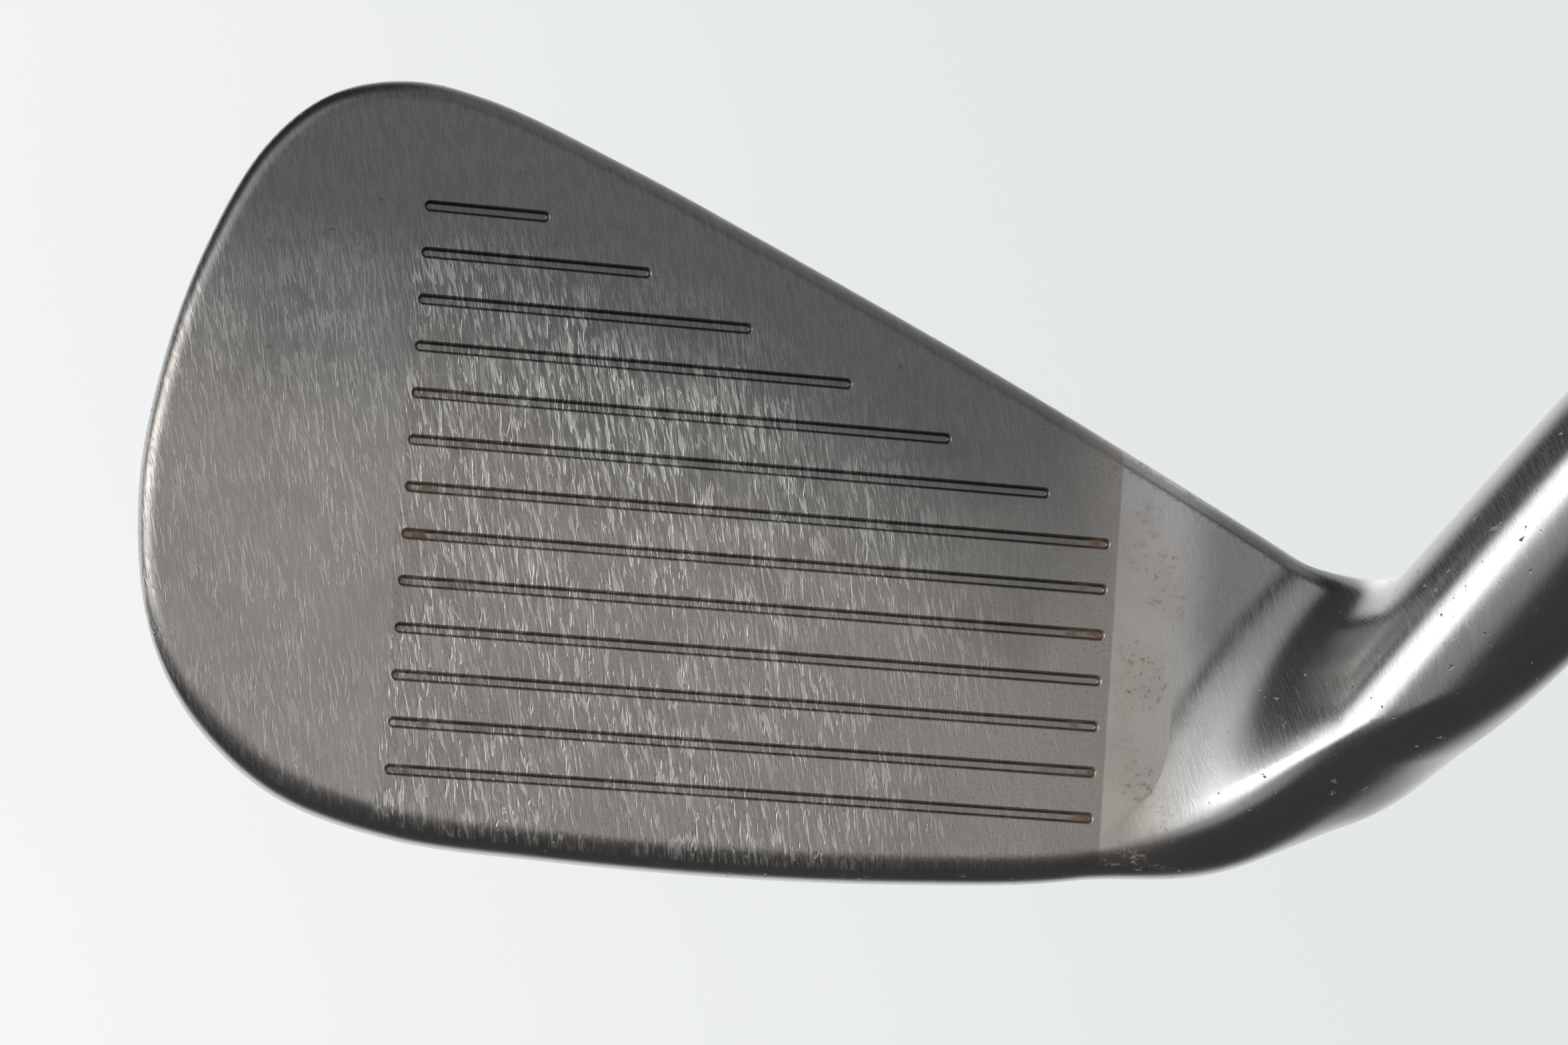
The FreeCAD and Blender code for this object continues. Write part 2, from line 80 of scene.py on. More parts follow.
# the face's outer line, seen square on: heel-ward, up the face
LOWER_EDGE = [(46.0, 2.3), (37.0, -2.4), (27.0, -5.6), (13.0, -7.0), (0.0, -7.4)]
TOE_AND_TOP = [(-15.0, -7.0), (-27.3, -5.9), (-36.6, -2.6), (-43.1, 3.5),
               (-47.0, 11.0), (-48.4, 19.5), (-47.4, 29.1), (-44.85, 38.3),
               (-40.7, 46.8), (-36.0, 51.2), (-30.0, 52.85), (-23.5, 52.0),
               (-12.0, 47.8), (0.0, 42.65), (22.0, 32.7), (44.0, 21.9),
               (50.5, 18.5), (53.0, 13.0), (51.5, 6.5)]
HEEL_EDGE = [(67.5, 13.8), (56.7, 6.8)]
HOSEL_LIMIT = [(-20.0, -7.0), (-60.0, 30.0), (-60.0, 100.0), (50.0, 140.0),
               (115.0, 110.0), (105.0, 50.0), (90.0, 32.0), (77.0, 21.0)]

GROOVE_COUNT, FULL_LENGTH = 13, 56.2
GROOVE_PITCH, GROOVE_WIDTH, GROOVE_FLOOR, GROOVE_DEPTH = 3.6, 0.8, 0.34, 0.4
TOE_END = -28.1
TOP_GROOVE_LENGTH, GROOVE_STEP = 9.7, 8.26

PLATE = [(34.0, -0.6), (18.0, -2.4), (-22.0, -2.6), (-37.0, -0.2), (-43.6, 8.5),
         (-44.8, 19.5), (-43.8, 30.0), (-41.3, 39.0), (-36.5, 46.6), (-30.0, 49.6),
         (-24.5, 49.0), (34.0, 23.2)]
PLATE_THICKNESS, PLATE_CORNER_R = 2.4, 9.0

BADGE_FLOOR, BADGE_TAPE, BADGE_THICKNESS, BADGE_GAP = 5.4, 0.3, 1.0, 0.15
BADGE_CORNER_R = 2.2
BADGE = [(-37.0, 28.8), (12.6, 28.8), (12.6, 31.0), (-23.5, 47.2), (-30.0, 47.2), (-36.0, 40.0)]
SCREW_S, SCREW_T = -24.0, 8.0
SCREW_HEAD_R, SCREW_HEAD_H, SCREW_R, SCREW_LENGTH = 4.0, 2.0, 2.5, 4.4
SCREW_SINK, SCREW_CLEARANCE, WASHER_THICKNESS = 0.1, 0.15, 0.4
HEX_ACROSS, HEX_DEPTH = 3.0, 1.2

SHAFT_TIP_R, SHAFT_BUTT_R = 4.7, 7.62
SHAFT_TIP_WALL, SHAFT_BUTT_WALL = 0.75, 0.34
SHAFT_STEPS, FIRST_STEP, STEP_PITCH, STEP_RAMP = 11, 220.0, 44.45, 1.6
SHAFT_LOW = 34.6
FERRULE_LENGTH, FERRULE_TOP_R, FERRULE_CURVE = 26.0, 5.15, 1.5
RING_WIDTH, RING_DEPTH = 1.3, 0.8
RING_HEIGHTS = {"ferrule_ring_lower": 5.0, "ferrule_ring_upper": 8.6}
BAND_LOW, BAND_LENGTH, BAND_THICKNESS = 623.5, 37.0, 0.12
CAP_LENGTH, CAP_EDGE_R, VENT_R = 3.2, 1.8, 1.5
SHAFT_TOP = CLUB_LENGTH - CAP_LENGTH
GRIP_LENGTH, GRIP_MOUTH_R, GRIP_BUTT_R = 267.0, 9.0, 13.2
GRIP_MOUTH = CLUB_LENGTH - GRIP_LENGTH
GRIP_LIP_R, GRIP_LIP_LENGTH, GRIP_FLARE = 9.5, 3.0, 1.25
TAPE_THICKNESS, TAPE_START = 0.25, 6.0

# ---- Camera: square to the face but from the toe side, a long lens at 0.4 m ----
LENS_MM, SENSOR_MM = 120.5, 36.0
CAMERA_S, CAMERA_T, CAMERA_N = -91.73, -5.76, 395.12
VIEW_AIM = Vector((0.2296, 0.0663, -0.971))
VIEW_UP = Vector((-0.08, 0.9956, 0.0491))


def from_face(s, t, n):
    """Row coordinates, in mm, of a point in face coordinates: heel-ward, up, out of the face."""
    return Vector((s,
                   FACE_Y + t * sin(LOFT) - n * cos(LOFT),
                   FACE_Z + t * cos(LOFT) + n * sin(LOFT)))


FACE_TO_ROW = Matrix(((1, 0, 0), (0, sin(LOFT), -cos(LOFT)), (0, cos(LOFT), sin(LOFT))))


def make_camera():
    data = bpy.data.cameras.new("camera")
    data.lens = LENS_MM
    data.sensor_width = SENSOR_MM
    data.clip_start = 0.01
    data.clip_end = 50.0
    camera = bpy.data.objects.new("camera", data)
    bpy.context.scene.collection.objects.link(camera)
    forward = (FACE_TO_ROW @ VIEW_AIM).normalized()
    right = forward.cross(FACE_TO_ROW @ VIEW_UP).normalized()
    up = right.cross(forward)
    turn = Matrix((right, up, -forward)).transposed().to_4x4()
    place = from_face(CAMERA_S, CAMERA_T, CAMERA_N) * MM
    camera.matrix_world = Matrix.Translation(place) @ turn
    bpy.context.scene.camera = camera


make_camera()


# ---- The head's outer form: one signed measure of a point, negative within ----
def smooth_loop(points, per_span=24):
    """A closed centripetal Catmull-Rom curve through the points."""
    corners = np.array(points, float)
    count = len(corners)
    spans = []
    for i in range(count):
        p0, p1, p2, p3 = (corners[(i + k - 1) % count] for k in range(4))
        t1 = np.linalg.norm(p1 - p0) ** 0.5
        t2 = t1 + np.linalg.norm(p2 - p1) ** 0.5
        t3 = t2 + np.linalg.norm(p3 - p2) ** 0.5
        t = np.linspace(t1, t2, per_span, endpoint=False)[:, None]
        a1 = (t1 - t) / t1 * p0 + t / t1 * p1
        a2 = (t2 - t) / (t2 - t1) * p1 + (t - t1) / (t2 - t1) * p2
        a3 = (t3 - t) / (t3 - t2) * p2 + (t - t2) / (t3 - t2) * p3
        b1 = (t2 - t) / t2 * a1 + t / t2 * a2
        b2 = (t3 - t) / (t3 - t1) * a2 + (t - t1) / (t3 - t1) * a3
        spans.append((t2 - t) / (t2 - t1) * b1 + (t - t1) / (t2 - t1) * b2)
    return np.concatenate(spans)


def loop_distance(loop, points):
    """Signed distance of 2-D points from a closed loop, negative within."""
    best = np.full(len(points), 1e9)
    winding = np.zeros(len(points))
    for start, end in zip(loop, np.roll(loop, -1, 0)):
        edge, away = end - start, points - start
        along = np.clip(away @ edge / (edge @ edge), 0, 1)
        best = np.minimum(best, ((away - along[:, None] * edge) ** 2).sum(1))
        crossing = (start[1] <= points[:, 1]) != (end[1] <= points[:, 1])
        side = edge[0] * away[:, 1] - edge[1] * away[:, 0]
        rising = 1.0 if edge[1] > 0 else -1.0
        winding += np.where(crossing & (side * rising > 0), rising, 0)
    return np.sqrt(best) * np.where(winding != 0, -1, 1)


class DistanceField:
    """A loop's signed distance, tabled once and read back with a cubic filter."""
    def __init__(self, loop, low, high, step=0.5):
        self.low, self.step = np.array(low, float), step
        axes = [np.arange(low[k], high[k] + step, step) for k in (0, 1)]
        grid = np.stack(np.meshgrid(*axes, indexing="ij"), -1)
        self.table = loop_distance(loop, grid.reshape(-1, 2)).reshape(grid.shape[:2])

    def __call__(self, s, t):
        place, weights = [], []
        for value, low, size in zip((s, t), self.low, self.table.shape):
            u = np.clip((value - low) / self.step, 1, size - 3.001)
            cell = u.astype(int)
            f = u - cell
            place.append(cell)
            weights.append((((2 - f) * f - 1) * f / 2, ((3 * f - 5) * f * f + 2) / 2,
                            ((4 - 3 * f) * f + 1) * f / 2, (f - 1) * f * f / 2))
        total = 0
        for a in range(4):
            for b in range(4):
                corner = self.table[place[0] + a - 1, place[1] + b - 1]
                total = total + weights[0][a] * weights[1][b] * corner
        return total


OUTLINE = DistanceField(smooth_loop(LOWER_EDGE + TOE_AND_TOP), (-62, -32), (92, 72))
LIMIT = DistanceField(smooth_loop(HEEL_EDGE + LOWER_EDGE + HOSEL_LIMIT), (-62, -32), (102, 102))


def both(a, b, r):
    """Intersection of two measures, its outer edge rounded to r."""
    return np.minimum(np.maximum(a, b), -r) + np.hypot(np.maximum(a + r, 0), np.maximum(b + r, 0))


def either(a, b, r):
    """Union of two measures, its inner corner rounded to r."""
    return np.maximum(np.minimum(a, b), r) - np.hypot(np.maximum(r - a, 0), np.maximum(r - b, 0))


def ease(x, a, b):
    f = np.clip((x - a) / (b - a), 0.0, 1.0)
    return f * f * (3 - 2 * f)


def to_face(x, y, z):
    """Face coordinates with the depth behind the face as the third."""
    dy, dz = y - FACE_Y, z - FACE_Z
    return x, dy * sin(LOFT) + dz * cos(LOFT), dy * cos(LOFT) - dz * sin(LOFT)


def back_depth(s, t):
    """Depth of the blade behind the face: a thin top and a muscle low down."""
    top = TOPLINE_DEPTH - 0.012 * (t - 30)
    muscle = MUSCLE_DEPTH + MUSCLE_SLOPE * (20 - t)
    spread = (1 - 0.75 * ease(s, 14, 46)) * (1 - 0.12 * ease(-s, 26, 50))
    ridge = MUSCLE_TOP - 0.05 * s
    return top + (muscle - top) * spread * (1 - ease(t, ridge - 1.5, ridge + 5.5))


def shaft_coords(x, y, z):
    """Height along the shaft axis, and distance from the hosel's centre line there."""
    along = (x - AXIS_X) * cos(LIE) + z * sin(LIE)
    side = (x - AXIS_X) * sin(LIE) - z * cos(LIE)
    across = np.hypot(side - HEEL_SHIFT * (1 - ease(along, 18, 52)), y)
    return along, across


def head_form(x, y, z):
    s, t, d = to_face(x, y, z)
    low = 1 - ease(t, 2, 24)
    inner = 1.5 + 0.5 * ((d - 1.5) + np.hypot(d - 1.5, 2.0))
    camber = SOLE_LOW_AT - (y - SOLE_LOW_Y) ** 2 / (2 * SOLE_CAMBER_R)
    t_sole = t + low * ((3 - inner) * tan(LOFT) + camber / cos(LOFT))
    s_toe = s - TOE_DRAFT * d * ease(-s, 12, 44)
    front_r = FACE_EDGE_R + (LEAD_EDGE_R - FACE_EDGE_R) * (1 - ease(t, -2, 12))
    blade = both(-d, OUTLINE(s_toe, t_sole), front_r)
    blade = both(blade, d - back_depth(s, t), 1.8 + 1.0 * (1 - ease(t, 2, 18)))
    along, across = shaft_coords(x, y, z)
    radius = HOSEL_R_LOW + (HOSEL_R_TOP - HOSEL_R_LOW) * ease(along, 20, 60)
    hosel = both(across - radius, LIMIT(s, t_sole), HEEL_R)
    hosel = np.maximum(hosel, along - HOSEL_TOP - SPARE)
    return either(blade, hosel, CROTCH_R)


# ---- Skinning the form ----
CORNERS = [(a, b, c) for a in (0, 1) for b in (0, 1) for c in (0, 1)]


def sample_form(axes):
    values = np.empty([len(a) for a in axes], np.float32)
    for i in range(0, len(axes[0]), 12):
        values[i:i + 12] = head_form(*np.meshgrid(axes[0][i:i + 12], axes[1], axes[2], indexing="ij"))
    return values


def surface_nets(low, high, step):
    """Vertices and quads of the form's surface, one vertex in each cell it passes through."""
    axes = [np.arange(low[k], high[k] + step, step) for k in range(3)]
    values = sample_form(axes)
    inside = values < 0
    size = [n - 1 for n in values.shape]
    held = sum(inside[a:size[0] + a, b:size[1] + b, c:size[2] + c].astype(np.int8) for a, b, c in CORNERS)
    crossed = (held > 0) & (held < 8)
    cells = np.argwhere(crossed)
    index = np.full(crossed.shape, -1)
    index[crossed] = np.arange(len(cells))
    total, hits = np.zeros((len(cells), 3)), np.zeros(len(cells))
    for corner in CORNERS:
        for k in range(3):
            if corner[k]:
                continue
            other = np.array(corner)
            other[k] = 1
            va = values[tuple((cells + corner).T)]
            vb = values[tuple((cells + other).T)]
            cut = (va < 0) != (vb < 0)
            point = np.tile(np.array(corner, float), (len(cells), 1))
            point[:, k] = np.where(cut, va / np.where(cut, va - vb, 1), 0)
            total[cut] += point[cut]
            hits[cut] += 1
    vertices = np.array([a[0] for a in axes]) + step * (cells + total / hits[:, None])
    quads = []
    for k in range(3):
        near = [slice(1, -1)] * 3
        far = list(near)
        near[k], far[k] = slice(0, -1), slice(1, None)
        here, there = inside[tuple(near)], inside[tuple(far)]
        edges = np.argwhere(here != there)
        outward = here[tuple(edges.T)]
        base = edges + 1
        base[:, k] -= 1
        i, j = (k + 1) % 3, (k + 2) % 3
        ring = []
        for di, dj in ((-1, -1), (0, -1), (0, 0), (-1, 0)):
            cell = base.copy()
            cell[:, i] += di
            cell[:, j] += dj
            ring.append(index[tuple(cell.T)])
        quad = np.stack(ring, 1)
        quad[~outward] = quad[~outward][:, ::-1]
        quads.append(quad)
    return vertices, np.concatenate(quads)


def gradient(points, reach=0.02):
    steps = np.eye(3) * reach
    return np.stack([(head_form(*(points + e).T) - head_form(*(points - e).T)) / (2 * reach)
                     for e in steps], 1)


def settle(points, rounds=3):
    """Newton steps that bring points onto the form's surface."""
    for _ in range(rounds):
        slope = gradient(points)
        value = head_form(*points.T)
        points = points - slope * (value / np.maximum((slope ** 2).sum(1), 0.05))[:, None]
    return points


# ---- Mesh helpers ----
def link(name, mesh):
    made = bpy.data.objects.new(name, mesh)
    bpy.context.scene.collection.objects.link(made)
    return made


def mesh_from(name, vertices, faces):
    mesh = bpy.data.meshes.new(name)
    mesh.from_pydata([tuple(v) for v in vertices], [], [tuple(int(i) for i in f) for f in faces])
    mesh.update()
    return mesh


def shade(mesh, sharp_angle):
    """Smooth shading, with edges past an angle kept sharp."""
    mesh.shade_smooth()
    mesh.set_sharp_from_angle(angle=sharp_angle)


def circle(radius, count=96, first=0.5):
    """Points round a circle; the first stands a share of a step past local X."""
    angles = 2 * pi * (np.arange(count) + first) / count
    return np.stack([radius * np.cos(angles), radius * np.sin(angles)], 1)


def at_height(loop, height):
    return np.column_stack([loop, np.full(len(loop), height)])


def walls(count, pairs):
    """Quads between the two loops of each pair; every loop has the same count of points."""
    return [(i * count + a, i * count + (a + 1) % count, j * count + (a + 1) % count, j * count + a)
            for i, j in pairs for a in range(count)]


def lathe(profile, segments):
    """Vertices and quads of a closed (radius, height) loop turned about local Z."""
    ring, count = circle(1.0, segments, 0.0), len(profile)
    vertices = np.concatenate([at_height(ring * r, h) for r, h in profile])
    return vertices, walls(segments, [(i, (i + 1) % count) for i in range(count)])


def closed_stack(loops):
    """Vertices and faces of a shape walled through equal loops and closed at both ends."""
    count, last = len(loops[0]), len(loops) - 1
    faces = walls(count, [(k, k + 1) for k in range(last)])
    faces.append(tuple(range(count - 1, -1, -1)))
    faces.append(tuple(range(last * count, (last + 1) * count)))
    return np.concatenate(loops), faces


def rounded(corners, radius, per_corner=8):
    """Corner points replaced by arcs of one radius."""
    arcs = []
    count = len(corners)
    for i, corner in enumerate(corners):
        here = Vector(corner)
        to_last = Vector(corners[i - 1]) - here
        to_next = Vector(corners[(i + 1) % count]) - here
        la, lb = to_last.length, to_next.length
        to_last.normalize()
        to_next.normalize()
        half = to_last.angle(to_next) / 2
        reach = min(radius / tan(half), 0.45 * la, 0.45 * lb)
        r = reach * tan(half)
        centre = here + (to_last + to_next).normalized() * (r / sin(half))
        start, end = here + to_last * reach - centre, here + to_next * reach - centre
        turn = start.angle(end)
        for j in range(per_corner + 1):
            f = j / per_corner
            arm = (start * sin((1 - f) * turn) + end * sin(f * turn)) / sin(turn)
            arcs.append(tuple(centre + arm))
    return arcs


# ---- Nodes and materials ----
def feed(socket, value):
    """Sets an input to a value, or links it from an output."""
    if isinstance(value, Number):
        value = value.socket
    if isinstance(value, bpy.types.NodeSocket):
        socket.id_data.links.new(value, socket)
    else:
        socket.default_value = value


def add(tree, kind, inputs=None, **settings):
    """Adds a node; an input is a value, or an output to link from."""
    made = tree.nodes.new(kind)
    for name, value in settings.items():
        setattr(made, name, value)
    for name, value in (inputs or {}).items():
        feed(made.inputs[name], value)
    return made


def result(tree, kind, inputs=None, **settings):
    """Adds a node and returns its first output."""
    return add(tree, kind, inputs, **settings).outputs[0]


class Number:
    """A number on a node's output; what is reckoned with it becomes nodes in the same tree."""
    def __init__(self, socket):
        self.socket = socket

    def step(self, operation, a, b=0.0):
        return Number(result(self.socket.id_data, "ShaderNodeMath", {0: a, 1: b}, operation=operation))

    def __add__(self, other):
        return self.step("ADD", self, other)

    def __sub__(self, other):
        return self.step("SUBTRACT", self, other)

    def __rsub__(self, other):
        return self.step("SUBTRACT", other, self)

    def __mul__(self, other):
        return self.step("MULTIPLY", self, other)

    def __truediv__(self, other):
        return self.step("DIVIDE", self, other)


def largest(first, *others):
    for other in others:
        first = first.step("MAXIMUM", first, other)
    return first


def numbers_of(vector):
    """The three numbers of a vector's socket."""
    made = add(vector.id_data, "ShaderNodeSeparateXYZ", {0: vector})
    return [Number(output) for output in made.outputs]


def vector_of(tree, x=0.0, y=0.0, z=0.0):
    return result(tree, "ShaderNodeCombineXYZ", {"X": x, "Y": y, "Z": z})


def srgb(code):
    """An sRGB hex colour as linear RGBA."""
    parts = [int(code[i:i + 2], 16) / 255 for i in (0, 2, 4)]
    return tuple(c / 12.92 if c <= 0.04045 else ((c + 0.055) / 1.055) ** 2.4 for c in parts) + (1.0,)


def mix(share, a, b):
    """One colour turned towards another by a share from 0 to 1."""
    return add(share.socket.id_data, "ShaderNodeMix", {"Factor": share, 6: a, 7: b},
               data_type="RGBA").outputs[2]


def blend(share, a, b):
    """One number turned towards another by a share from 0 to 1."""
    return Number(result(share.socket.id_data, "ShaderNodeMix", {"Factor": share, 2: a, 3: b},
                         data_type="FLOAT"))


def ramp(value, low, high):
    """0 at low, 1 at high, smooth between; low may be above high."""
    return Number(result(value.socket.id_data, "ShaderNodeMapRange",
                         {0: value, 1: low, 2: high, 3: 0.0, 4: 1.0}, interpolation_type="SMOOTHSTEP"))


def noise(vector, scale, detail=2.0, rough=0.5):
    made = add(vector.id_data, "ShaderNodeTexNoise",
               {"Vector": vector, "Scale": scale, "Detail": detail, "Roughness": rough})
    return Number(made.outputs["Fac"])


def bump(depth, height, under=None, **settings):
    """A shader normal pushed out by a height from 0 to 1, over another normal if there is one."""
    inputs = {"Strength": 1.0, "Distance": depth, "Height": height}
    if under:
        inputs["Normal"] = under
    return result(height.socket.id_data, "ShaderNodeBump", inputs, **settings)


def object_place(tree):
    return add(tree, "ShaderNodeTexCoord").outputs["Object"]


def face_position(tree):
    """Object coordinates turned to the face's own: mm heel-ward, up the face, out of it."""
    offset = -(FACE_TO_ROW.transposed() @ from_face(0, 0, 0))
    return result(tree, "ShaderNodeMapping",
                  {"Vector": object_place(tree), "Location": offset,
                   "Rotation": (-(pi / 2 - LOFT), 0, 0), "Scale": (1 / MM, 1 / MM, 1 / MM)})


def streaks(place, width, length, lean, seed):
    """Noise drawn out along a line that leans, in degrees: width across, length along, in mm."""
    turn = {"Vector": place, "Rotation": (0, 0, radians(lean)), "Location": (seed, seed * 0.7, 0)}
    turned_place = result(place.id_data, "ShaderNodeMapping", turn)
    drawn = result(place.id_data, "ShaderNodeMapping",
                   {"Vector": turned_place, "Scale": (1 / width, 1 / length, 1 / length)})
    return noise(drawn, 1.0, detail=1.0)


def hairs(place, width, length, lean, seed, thin):
    """Long hairlines: where drawn-out noise crosses its middle, thin of its swing wide."""
    off = streaks(place, width, length, lean, seed) - 0.5
    return ramp(off.step("ABSOLUTE", off), thin, 0.0)


def new_material(name):
    material = bpy.data.materials.new(name)
    material.use_nodes = True
    material.node_tree.nodes.clear()
    tree = material.node_tree
    shader = add(tree, "ShaderNodeBsdfPrincipled")
    add(tree, "ShaderNodeOutputMaterial", {"Surface": shader.outputs["BSDF"]})
    return material, tree, shader.inputs


# the face's zones, in mm heel-ward: where the blasting fades in and out, and the top line's fall
BLAST_TOE_OUT, BLAST_TOE_IN, BLAST_HEEL_IN, BLAST_HEEL_OUT = -28.8, -28.5, 28.7, 28.9
TOP_FALL = 0.415
SWING_LEAN = -15                  # degrees that most scratches lean


def worn_forged_steel():
    """Forged carbon steel under worn satin chrome. Blasting leaves the scored zone matt and warm,
    hand polishing leaves the toe, heel and edges brighter; turf and balls cut steep fine scratches
    that catch the light, their near-white colour partly a painted highlight; painted shade darkens
    the face along the top edge and the flat past the heel strip, dirt and painted shade darken the
    score lines, and rust sits in the lines' ends and on the strip by the heel."""
    material, tree, shader = new_material("worn_forged_steel")
    place = face_position(tree)
    s, t, n = numbers_of(place)
    clusters, cloud, grain = noise(place, 0.13, 3.0), noise(place, 0.11, 4.0), noise(place, 4.5)

    # zones: the flat front, its scored part, the toe, the strip by the heel and what lies beyond it, which
    # gets painted shade
    front = ramp(n, -0.75, -0.45) * ramp(n, 3.0, 0.3)
    scored = front * ramp(s, BLAST_TOE_OUT, BLAST_TOE_IN) * ramp(s, BLAST_HEEL_OUT, BLAST_HEEL_IN)
    toe = front * ramp(s, BLAST_TOE_IN, BLAST_TOE_OUT)
    strip = (front * ramp(s, BLAST_HEEL_IN, BLAST_HEEL_OUT) * ramp(s, 37.0, 31.0)
             * ramp(t + s * 0.5, 40.5, 37.5))
    # painted shade: the flat past the heel strip, low on the face, made darker grey
    beyond = front * ramp(s, 33.0, 38.0) * ramp(t, 6.0, 16.0)
    # painted shade: the face made darker towards its top edge, standing in for the dark room it reflects
    # there
    painted_top_shade = (ramp(n, -2.5, -0.5) * ramp(t + s * 0.25 + (cloud - 0.5) * 14.0, 12.0, 35.0)
              * ramp(s, 32.0, 22.0))
    stain = front * ramp(noise(place, 0.55, 5.0, 0.7), 0.63, 0.76) * ramp(t, 12.0, 34.0)

    # scratches about 0.1 mm wide, of several slopes and lengths, in clusters below the top edge
    worn = (ramp(s, 30.0, -4.0) * ramp(t + s * 0.62, 38.0, 22.0) * front * blend(toe, 1.0, 0.3)
            * ramp(t, 44.0, 30.0) * (ramp(clusters, 0.36, 0.56) + 0.35))
    dashes = ramp(streaks(place, 0.06, 1.8, SWING_LEAN, 3.1), 0.60, 0.67)
    steep = ramp(streaks(place, 0.075, 3.8, -9, 17.7), 0.61, 0.67)
    lines = largest(hairs(place, 0.7, 7.0, -13, 41.3, 0.05), hairs(place, 0.9, 5.0, -20, 23.9, 0.04),
                    hairs(place, 0.6, 4.0, -6, 67.1, 0.06), hairs(place, 1.6, 10.0, -33, 77.7, 0.03))
    broken = ramp(streaks(place, 0.4, 2.6, SWING_LEAN, 9.9), 0.50, 0.58)
    # the scratches are real wear, and their near-white colour further down is partly a painted highlight for
    # the light they catch
    scratch_and_glint = largest(dashes, steep, lines * broken) * (worn * 0.9 + 0.06)
    scuff = worn * ramp(streaks(place, 0.28, 5.0, SWING_LEAN, 60.1), 0.50, 0.66)

    # inside the score lines: dirt and painted shade, darker on their walls than on their floors, and rust
    below_top = ramp(t + s * TOP_FALL, 38.6, 38.2)
    deep = ramp(n, -0.06, -0.3) * scored * ramp(t, -1.4, -0.9) * below_top
    dirt_and_shade = deep * blend(ramp(n, -0.35, -0.39), 0.75, 0.2)
    ends = largest(ramp(s, -18.0, -27.0), ramp(s, 22.0, 27.5))
    in_lines = deep * ends * ramp(noise(place, 0.5, 4.0, 0.6), 0.46, 0.64) * ramp(t, 34.0, 24.0)
    specks = (front * ramp(noise(place, 1.3, 6.0, 0.8), 0.52, 0.62) * ramp(s, 28.9, 30.5)
              * ramp(s, 37.5, 33.0) * ramp(noise(place, 0.22, 3.0), 0.4, 0.6))
    rust = largest(in_lines, specks * 0.75)

    base = mix(scored, srgb("cfd0d0"), srgb("c6c0b8"))
    # in this list the 8b8e90 past the heel strip and the 7b7e80 along the top are painted shade, the
    # scratches' near-white is partly a painted highlight, and the score lines' 35332f is dirt and painted
    # shade
    for share, colour in ((toe * 0.8, "cbc5bf"), (strip * 0.9, "e6dfd6"), (beyond * 0.8, "8b8e90"),
                          (front * ramp(cloud, 0.42, 0.72) * 0.3, "b3aaa2"), (painted_top_shade * 0.85, "7b7e80"),
                          (scored * ramp(grain, 0.45, 0.75) * 0.4, "8f8984"), (stain * 0.75, "4b4643"),
                          (scuff * 0.5, "e3dfd9"), (scratch_and_glint, "fdfaf6"), (dirt_and_shade, "35332f"),
                          (rust * 0.85, "7a5530")):
        base = mix(share, base, srgb(colour))
    feed(shader["Base Color"], base)
    feed(shader["Metallic"], 1.0 - rust * 0.8)

    rough = blend(scored, 0.21, 0.36)
    rough = blend(largest(toe, strip), rough, 0.32)
    rough = blend(ramp(cloud, 0.4, 0.7) * 0.25, rough, 0.45)
    feed(shader["Roughness"], blend(largest(scratch_and_glint, rust), rough, 0.5))

    cut = bump(0.04 * MM, scratch_and_glint * -1.0)
    blasted = bump(0.012 * MM, grain * blend(scored, 0.15, 1.0), cut)
    pits = ramp(noise(place, 0.9, 4.0, 0.7), 0.66, 0.75) * (1.0 - front)
    feed(shader["Normal"], bump(0.08 * MM, pits, blasted, invert=True))
    return material


def plain(name, colour, metallic, rough, grain_mm, depth_mm, spread=0.06):
    """A simple finish with its own fine grain in colour, gloss and height."""
    material, tree, shader = new_material(name)
    grain = noise(object_place(tree), 1 / (grain_mm * MM), 3.0)
    low = tuple(c * (1 - spread * 2) for c in srgb(colour)[:3]) + (1.0,)
    feed(shader["Base Color"], mix(grain, low, srgb(colour)))
    feed(shader["Metallic"], metallic)
    feed(shader["Roughness"], blend(grain, rough * (1 - spread), rough * (1 + spread)))
    raised = add(tree, "ShaderNodeBump", {"Strength": 0.3, "Distance": depth_mm * MM, "Height": grain})
    feed(shader["Normal"], raised.outputs[0])
    return material


# each finish: its colour, metal or not, roughness, and its grain's size and depth in mm
STEEL = worn_forged_steel()
CHROME = plain("bright_chromed_steel", "d9dadb", 1.0, 0.12, 1.5, 0.001)
PLASTIC = plain("buffed_black_ferrule_plastic", "101012", 0.0, 0.22, 0.3, 0.002)
TRIM = plain("turned_aluminium", "c9cacc", 1.0, 0.25, 0.2, 0.003)
RUBBER = plain("moulded_black_rubber", "1c1c1d", 0.0, 0.62, 0.25, 0.03)
HARD_RUBBER = plain("hard_moulded_rubber", "202022", 0.0, 0.45, 0.25, 0.02)
FILM = plain("dark_printed_film", "1b1d20", 0.0, 0.2, 2.0, 0.002)
BADGE_FINISH = plain("brushed_anodised_aluminium", "4a4c4f", 1.0, 0.35, 0.1, 0.004)
FOAM = plain("closed_cell_foam", "cdbf98", 0.0, 0.85, 0.5, 0.1)
TUNGSTEN = plain("sintered_tungsten", "5b5b5d", 1.0, 0.5, 0.1, 0.01)
SCREW_STEEL = plain("machined_stainless_steel", "b4b2ae", 1.0, 0.25, 0.15, 0.003)
BRASS = plain("machined_brass", "b8924a", 1.0, 0.3, 0.2, 0.004)
TAPE = plain("woven_adhesive_tape", "bdb29b", 0.0, 0.8, 0.3, 0.05)
EPOXY = plain("cured_epoxy", "c2a968", 0.0, 0.3, 0.8, 0.01)


